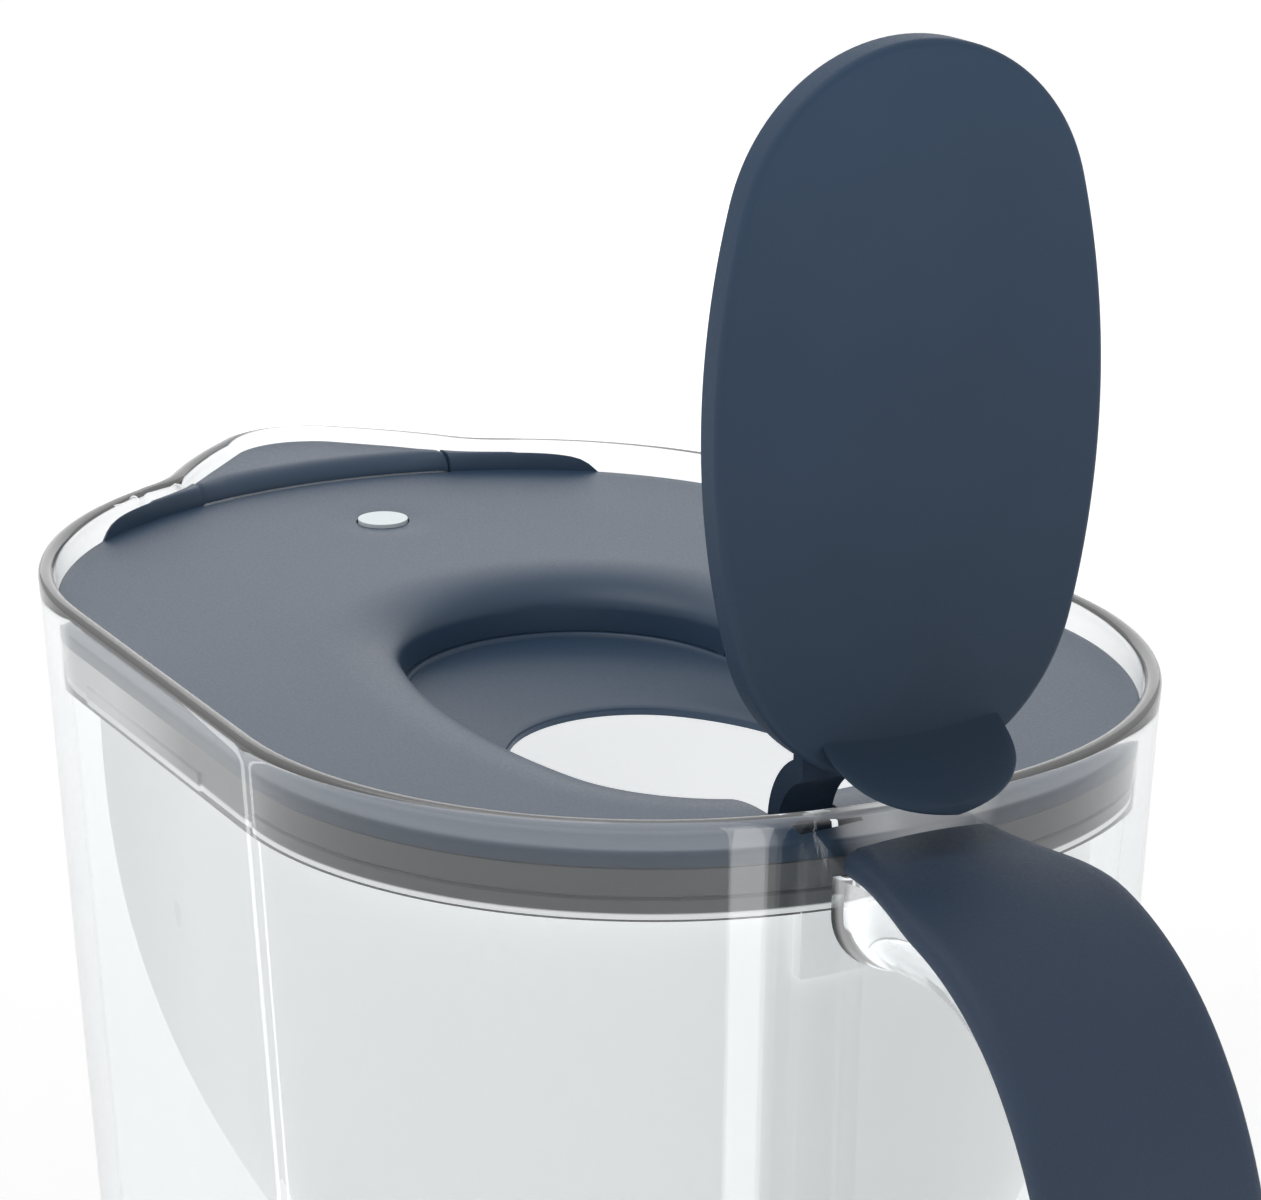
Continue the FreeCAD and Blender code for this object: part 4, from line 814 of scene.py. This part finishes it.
def hole_rings(angles, roll_end):
    """Wall of the fill hole and its soft lip."""
    rings = [ring_at(angles, flap_radius(angles, FLAP_FIT), HOLE_WALL_Z, FLAP_X)]
    for t in np.linspace(math.pi / 2, 0, ROLL_RINGS):
        out = ROLL_WIDTH * (1 - math.sin(t))
        down = ROLL_DEPTH * (1 - math.cos(t))
        radius = np.minimum(flap_radius(angles, FLAP_FIT + out), roll_end)
        rings.append(ring_at(angles, radius, LID_Z - down, FLAP_X))
    return rings


def top_rings(angles, roll_end, edge):
    """The lid's top, from the lip over the front crescent to the rounded edge."""
    cosine, sine = np.cos(angles), np.sin(angles)
    toward = (FLAP_X - RIDGE_X) * cosine
    to_ridge = -toward + np.sqrt(toward ** 2 + RIDGE_R ** 2 - (FLAP_X - RIDGE_X) ** 2)
    end = edge - LID_EDGE_R
    ridge_in = np.minimum(np.where(cosine < 0, to_ridge, edge), end)
    ridge_out = np.minimum(ridge_in + RIDGE_RUN * RIDGE_END_SHARE, end)
    bounds = (roll_end, ridge_in, ridge_out, end)
    rings = []
    for low, high, (count, power) in zip(bounds, bounds[1:], TOP_RINGS):
        for share in np.linspace(0, 1, count)[1:]:
            radius = low + (high - low) * share ** power
            z = lid_height(FLAP_X + radius * cosine, radius * sine)
            rings.append(ring_at(angles, radius, z, FLAP_X))
    top = rings[-1][:, 2].copy()
    for t in EDGE_TURNS:
        radius = edge - LID_EDGE_R * (1 - math.sin(t))
        rings.append(ring_at(angles, radius, top - LID_EDGE_R * (1 - math.cos(t)), FLAP_X))
    return rings


def under_rings(angles, edge):
    """The lid's underside, from the edge back to the outside of the hole's wall."""
    under = LID_Z - LID_THICK
    wall = flap_radius(angles, FLAP_FIT + LID_SKIN)
    lip = flap_radius(angles, FLAP_FIT + LID_SKIN + ROLL_WIDTH * UNDER_SHARE)
    lip = np.minimum(lip, edge - LID_EDGE_R * 3)
    levels = [(edge, under), (lip, under), (wall, under - ROLL_DEPTH * UNDER_SHARE), (wall, HOLE_WALL_Z)]
    return [ring_at(angles, radius, z, FLAP_X) for radius, z in levels]


def lid_rings():
    angles = full_turn(JUG_SEGMENTS)
    edge = jug_radius(angles, LID_INSET, LID_INSET, LID_Z, FLAP_X)
    roll_end = np.minimum(flap_radius(angles, FLAP_FIT + ROLL_WIDTH), edge - LID_EDGE_R * 2)
    return hole_rings(angles, roll_end) + top_rings(angles, roll_end, edge) + under_rings(angles, edge)


def tube(name, x, z, low_y, high_y, radius):
    """Round bar along Y."""
    turn = full_turn(TUBE_POINTS)
    rings = [np.stack([x + radius * np.cos(turn), np.full(TUBE_POINTS, y), z + radius * np.sin(turn)], 1)
             for y in (low_y, high_y)]
    return add_loft(name, rings)


def drum(name, x, y, low_z, high_z, radius):
    """Round bar along Z."""
    turn = full_turn(DRUM_POINTS)
    rings = [np.stack([x + radius * np.cos(turn), y + radius * np.sin(turn), np.full(DRUM_POINTS, z)], 1)
             for z in (low_z, high_z)]
    return add_loft(name, rings)


def back_arc(y, gap):
    """Front edge of the lid behind the spout flap."""
    return RIDGE_X - np.sqrt((RIDGE_R - gap) ** 2 - y ** 2)


def spout_gap_cutter():
    """The space of the spout flap, cut out of the lid."""
    y = np.linspace(-SEAM_HALF, SEAM_HALF, SEAM_POINTS)
    back = np.stack([back_arc(y, SPOUT_FLAP_BACK_GAP), y], 1)
    far = -REACH - SPOUT_LENGTH * 2
    outline = np.concatenate([back, [[far, SEAM_HALF], [far, -SEAM_HALF]]])
    levels = (LID_Z - CUT_OVERRUN, RIM_Z + CUT_OVERRUN)
    return add_loft("spout_gap", [np.column_stack([outline, np.full(len(outline), z)]) for z in levels])


def make_lid():
    lid = add_loft("lid_shell", lid_rings(), material=materials["lid_blue"], closed=True)
    low, high = LID_Z - CUT_OVERRUN, RIM_Z + CUT_OVERRUN
    arm_half = ARM_OUTER_Y + ARM_GAP
    slot_back = PIVOT_X + ARM_EYE_R + ARM_GAP
    tongue_x = FLAP_REAR_X + TONGUE_REACH
    cutters = [spout_gap_cutter(), drum("disc_hole", INDICATOR_X, 0, low, high, DISC_R + DISC_FIT),
               block("flap_room", (FLAP_REAR_X - ARM_ROOM, -arm_half, low), (tongue_x, arm_half, high))]
    for side in (-1, 1):
        y = sorted((side * EAR_HALF, side * arm_half))
        cutters.append(block("arm_slot", (tongue_x - SLOT_OVERLAP, y[0], low), (slot_back, y[1], high)))
    boolean(lid, cutters, "DIFFERENCE")
    ear = tube("ear_barrel", PIVOT_X, PIVOT_Z, -EAR_HALF, EAR_HALF, EAR_R)
    stem = block("ear_stem", (PIVOT_X - EAR_R, -EAR_HALF, PIVOT_Z),
                 (PIVOT_X + EAR_R, EAR_HALF, LID_Z - LID_THICK / 2))
    boolean(lid, [ear, stem], "UNION")
    bore = tube("ear_bore", PIVOT_X, PIVOT_Z, -EAR_HALF * 2, EAR_HALF * 2, EAR_BORE_R)
    boolean(lid, [bore], "DIFFERENCE")
    shade(lid, CUT_SHARP_DEG)
    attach(lid, "lid")
    finish_piece(lid, "lid_top")


def basin_rings():
    """Dished shell under the hole: fine ledge at the wall, slope to the oval opening, rounded edge."""
    angles = full_turn(FUNNEL_SEGMENTS)

    def outer(grow):
        points = egg_half(FLAP_HALF_LENGTH, FLAP_HALF_WIDTH, FLAP_END_R, FLAP_FIT + grow, FLAP_X)
        return polar(points, folded(angles), BASIN_CENTRE_X)

    def inner(grow):
        points = egg_half(BASIN_HALF_LENGTH, BASIN_HALF_WIDTH, BASIN_END_R, grow, BASIN_X)
        return polar(points, folded(angles), BASIN_CENTRE_X)

    skin, edge = BASIN_SKIN, BASIN_EDGE
    top = HOLE_WALL_Z - BASIN_GAP
    slope_top, slope_end = top - skin * SLOPE_DROP_SHARE, BASIN_Z + edge
    levels = [(outer(LID_SKIN), top), (outer(-skin * LEDGE_SHARE), top)]
    levels += [(outer(-skin * LEDGE_ROUND_SHARE), top - skin * LEDGE_ROUND_DROP_SHARE)]
    for share in np.linspace(0, 1, SLOPE_RINGS):
        radius = outer(-skin * SLOPE_INSET_SHARE) * (1 - share) + inner(edge) * share
        levels.append((radius, slope_top + (slope_end - slope_top) * share))
    for t in EDGE_TURNS:
        fall = edge * EDGE_FALL_SHARE * (1 - math.cos(t))
        levels.append((inner(edge * (1 - math.sin(t))), slope_end - fall))
    levels += [(inner(0), BASIN_Z), (inner(skin), BASIN_Z), (outer(-skin), top - skin * UNDER_DROP_SHARE),
               (outer(LID_SKIN), top - skin)]
    return [ring_at(angles, radius, z, BASIN_CENTRE_X) for radius, z in levels]


def snap_noses():
    """Four noses that hold the basin in the wall of the fill hole."""
    noses = []
    for offset in (-NOSE_APART, NOSE_APART):
        turn = math.atan2(FLAP_HALF_WIDTH, offset)
        radius = flap_radius(np.array([turn]), FLAP_FIT)[0]
        x = FLAP_X + radius * math.cos(turn)
        for side in (-1, 1):
            y = side * radius * math.sin(turn)
            low, high = sorted((y - side * NOSE_OUT, y + side * LID_SKIN / 2))
            noses.append(block("snap_nose", (x - NOSE_HALF, low, HOLE_WALL_Z - BASIN_SKIN / 2),
                               (x + NOSE_HALF, high, HOLE_WALL_Z + NOSE_RISE)))
    return noses


def make_basin():
    basin = add_loft("lid_dish", basin_rings(), material=materials["lid_blue"], closed=True)
    boolean(basin, snap_noses(), "UNION")
    arm_half = ARM_OUTER_Y + ARM_GAP
    arm_room = block("arm_room", (FLAP_REAR_X - ARM_ROOM, -arm_half, BASIN_Z - BASIN_SKIN),
                     (REACH, arm_half, RIM_Z))
    boolean(basin, [arm_room], "DIFFERENCE")
    shade(basin, CUT_SHARP_DEG)
    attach(basin, "lid")
    finish_piece(basin, "lid_basin")


def spout_flap_points():
    """Grids of the top and the underside, from the lid's front edge to the spout's wall."""
    y = np.linspace(-FLAP_SEAM_HALF, FLAP_SEAM_HALF, SPOUT_FLAP_ROWS)
    outline = spout_half(SPOUT_FLAP_GAP, RIDGE_Z)
    order = np.argsort(outline[:, 1])
    front = np.interp(np.abs(y), outline[order][:, 1], outline[order][:, 0])
    back = back_arc(y, -SPOUT_FLAP_BACK_GAP)
    share = np.linspace(0, 1, SPOUT_FLAP_COLUMNS) ** 2
    x = back[:, None] + (front - back)[:, None] * share[None, :]
    yy = np.repeat(y[:, None], SPOUT_FLAP_COLUMNS, 1)
    z = lid_height(x, yy, RIDGE_R + SPOUT_FLAP_BACK_GAP)
    inset = np.minimum(np.abs(np.abs(yy) - FLAP_SEAM_HALF), np.abs(x - front[:, None]))
    z = z - SPOUT_FLAP_EDGE_DROP * (1 - smooth_step(inset / SPOUT_FLAP_EDGE))
    top = np.stack([x, yy, z], 2).reshape(-1, 3)
    low_x = x - SPOUT_FLAP_BEVEL * (1 - share[None, :])
    low = np.stack([low_x, yy, np.full_like(x, RIDGE_Z - SPOUT_FLAP_THICK)], 2).reshape(-1, 3)
    return np.concatenate([top, low])


def slab_faces(rows, columns):
    """Faces of a closed slab between two grids of points, the upper grid first."""
    size = rows * columns
    faces = []
    for r in range(rows - 1):
        for c in range(columns - 1):
            a = r * columns + c
            quad = (a, a + 1, a + columns + 1, a + columns)
            faces.append(quad)
            faces.append(tuple(size + i for i in reversed(quad)))
    edge = [(0, c) for c in range(columns)] + [(r, columns - 1) for r in range(1, rows)]
    edge += [(rows - 1, c) for c in range(columns - 2, -1, -1)] + [(r, 0) for r in range(rows - 2, 0, -1)]
    ids = [r * columns + c for r, c in edge]
    for a, b in zip(ids, ids[1:] + ids[:1]):
        faces.append((a, b, size + b, size + a))
    return faces


def make_spout_flap():
    faces = slab_faces(SPOUT_FLAP_ROWS, SPOUT_FLAP_COLUMNS)
    flap = add_mesh("spout_cover", spout_flap_points(), faces, "spout_flap", materials["lid_blue"],
                    FLAP_SHARP_DEG)
    finish_piece(flap, "spout_flap")


# Fill flap

def opened(points):
    """Turns points of the closed fill flap up to the open place."""
    dx, dz = points[:, 0] - PIVOT_X, points[:, 2] - PIVOT_Z
    return np.column_stack([PIVOT_X + dz, points[:, 1], PIVOT_Z - dx])


def flap_rings(levels):
    """Rings of the flap's outline from a list of (inset, depth below the face, follows the crown)."""
    angles = full_turn(FLAP_SEGMENTS)
    rings = []
    for inset, depth, crowned in levels:
        ring = ring_at(angles, flap_radius(angles, -inset), FLAP_Z - depth, FLAP_X)
        if crowned:
            ring[:, 2] -= FLAP_CROWN * (ring[:, 1] / FLAP_HALF_WIDTH) ** 2
        rings.append(opened(ring))
    return rings


def make_flap_panel():
    r = FLAP_EDGE_R
    lip = FLAP_THICK - LIP_DROP
    levels = [(inset, 0.0, True) for inset in FACE_INSETS]
    turns = np.radians(np.linspace(0, 90, FLAP_EDGE_RINGS))
    levels += [(r - r * math.sin(t), r - r * math.cos(t), True) for t in turns]
    levels += [(0.0, lip - LIP_EDGE, False), (LIP_EDGE, lip, False), (LIP_WIDTH, lip, False)]
    levels += [(LIP_WIDTH + LIP_SLOPE, PANEL_THICK, False)]
    levels += [(inset, PANEL_THICK, False) for inset in FLOOR_INSETS]
    blue = materials["flap_blue"]
    panel = add_loft("flap_cover", flap_rings(levels), "fill_flap", blue, FLAP_SHARP_DEG)
    tab = add_loft("flap_thumb_tab", tab_rings(), "fill_flap", blue, FLAP_SHARP_DEG)
    finish_piece(panel, "flap_panel")


def tab_rings():
    """Thumb tab: rounded in plan, dished on the side that the thumb presses, thin soft edge."""
    foot_x = FLAP_REAR_X - TAB_ROOT
    turn = full_turn(TAB_POINTS)
    flat_side = np.sign(np.sin(turn)) * np.abs(np.sin(turn)) ** TAB_FLAT_POWER
    rings = []
    for step in np.linspace(0, 1, TAB_STEPS):
        share = math.sin(step * math.pi / 2)
        half = TAB_HALF_WIDTH * math.sqrt(max(1 - share ** TAB_ROUND_POWER, 0.0)) + TAB_TIP_HALF
        y = half * np.cos(turn)
        middle = foot_x + TAB_LEAN * share ** TAB_LEAN_POWER
        dish = TAB_DISH * (y / TAB_HALF_WIDTH) ** 2 * (1 - TAB_DISH_FADE_SHARE * step)
        thick = TAB_THICK * (1 - TAB_THIN_SHARE * share ** 2)
        z = np.full(TAB_POINTS, FLAP_Z + TAB_REACH * share + TAB_THICK / 2 * (share - 1))
        rings.append(opened(np.column_stack([middle - dish + flat_side * thick / 2, y, z])))
    return rings


def make_flap_liner():
    r = LINER_EDGE_R
    groove_end = GROOVE_INSET + GROOVE_WIDTH
    groove_floor = FLAP_THICK - GROOVE_DEPTH
    levels = [(inset, PANEL_THICK, False) for inset in (*reversed(FLOOR_INSETS), LINER_INSET)]
    levels += [(LINER_INSET + r * (1 - math.cos(t)), FLAP_THICK - r + r * math.sin(t), False)
               for t in np.radians([0, 30, 60, 90])]
    levels += [(GROOVE_INSET, FLAP_THICK, False), (GROOVE_INSET + GROOVE_SLOPE, groove_floor, False),
               (groove_end - GROOVE_SLOPE, groove_floor, False), (groove_end, FLAP_THICK, False)]
    levels += [(inset, FLAP_THICK, False) for inset in LINER_FACE_INSETS]
    liner = add_loft("flap_inside", flap_rings(levels), "fill_flap", materials["flap_blue"], FLAP_SHARP_DEG)
    finish_piece(liner, "flap_liner")


# Stage

def area_light(name, place, target, size, radiance):
    """Soft panel; its power follows from its size and how bright it looks."""
    data = bpy.data.lights.new(name, "AREA")
    data.shape = "RECTANGLE"
    data.size, data.size_y = size
    data.energy = radiance * math.pi * size[0] * size[1]
    light = bpy.data.objects.new(name, data)
    bpy.context.scene.collection.objects.link(light)
    light.location = place
    light.rotation_mode = "QUATERNION"
    light.rotation_quaternion = (Vector(target) - Vector(place)).to_track_quat("-Z", "Y")
    light.visible_camera = False
    return light


def strip_light(name, foot, wall_point, width, radiance):
    """Upright strip that shows as a highlight on the jug's wall."""
    middle = STRIP_HEIGHT / 2
    strip = area_light(name, (*foot, middle), (*wall_point, middle), (width, STRIP_HEIGHT), radiance)
    strip.visible_diffuse = False


def floor_material():
    """Matt white that glows a little more towards the horizon, so that floor and background meet."""
    material = moulded("floor_white", (0.95, 0.95, 0.95), 0.9, 0.005)
    tree = material.node_tree
    shader = tree.nodes["Principled BSDF"]
    length = tree.nodes.new("ShaderNodeVectorMath")
    length.operation = "LENGTH"
    tree.links.new(own_place(tree), length.inputs[0])
    glow = span(tree, length.outputs["Value"], (FLOOR_NEAR, FLOOR_FAR), (NEAR_GLOW, FAR_GLOW))
    shader.inputs["Emission Color"].default_value = (1, 1, 1, 1)
    tree.links.new(glow, shader.inputs["Emission Strength"])
    return material


def make_floor():
    half = FLOOR_HALF
    corners = [(-half, -half, 0), (half, -half, 0), (half, half, 0), (-half, half, 0)]
    floor = add_mesh("floor", corners, [(0, 1, 2, 3)], None, floor_material())


def make_light():
    world = bpy.data.worlds.new("studio")
    bpy.context.scene.world = world
    world.use_nodes = True
    background = world.node_tree.nodes["Background"]
    background.inputs["Color"].default_value = (1, 1, 1, 1)
    background.inputs["Strength"].default_value = WORLD_STRENGTH
    for name, place, size, radiance in PANELS:
        area_light(name, place, (0, 0, RIM_Z), size, radiance)
    for name, foot, wall_point, width, radiance in STRIPS:
        strip_light(name, foot, wall_point, width, radiance)
    bpy.context.scene.view_settings.view_transform = "Standard"


def make_camera():
    """The photograph's view, as fitted to the rim, the lid and the open flap."""
    data = bpy.data.cameras.new("camera")
    data.sensor_width, data.lens = CAMERA_SENSOR, CAMERA_LENS
    data.clip_start, data.clip_end = CAMERA_CLIP
    camera = bpy.data.objects.new("camera", data)
    bpy.context.scene.collection.objects.link(camera)
    turn, tilt = math.radians(CAMERA_TURN_DEG), math.radians(CAMERA_TILT_DEG)
    back = Vector((math.sin(turn) * math.cos(tilt), -math.cos(turn) * math.cos(tilt), math.sin(tilt)))
    camera.location = CAMERA_PLACE
    camera.rotation_mode = "QUATERNION"
    camera.rotation_quaternion = (-back).to_track_quat("-Z", "Y")
    bpy.context.scene.camera = camera


def dress_cad():
    for name, node in frame["nodes"].items():
        node.data.materials.clear()
        node.data.materials.append(materials[slot_of[name]])


dress_cad()
make_jug()
make_grip()
make_funnel()
make_lid()
make_basin()
make_spout_flap()
make_flap_panel()
make_flap_liner()
make_floor()
make_light()
make_camera()
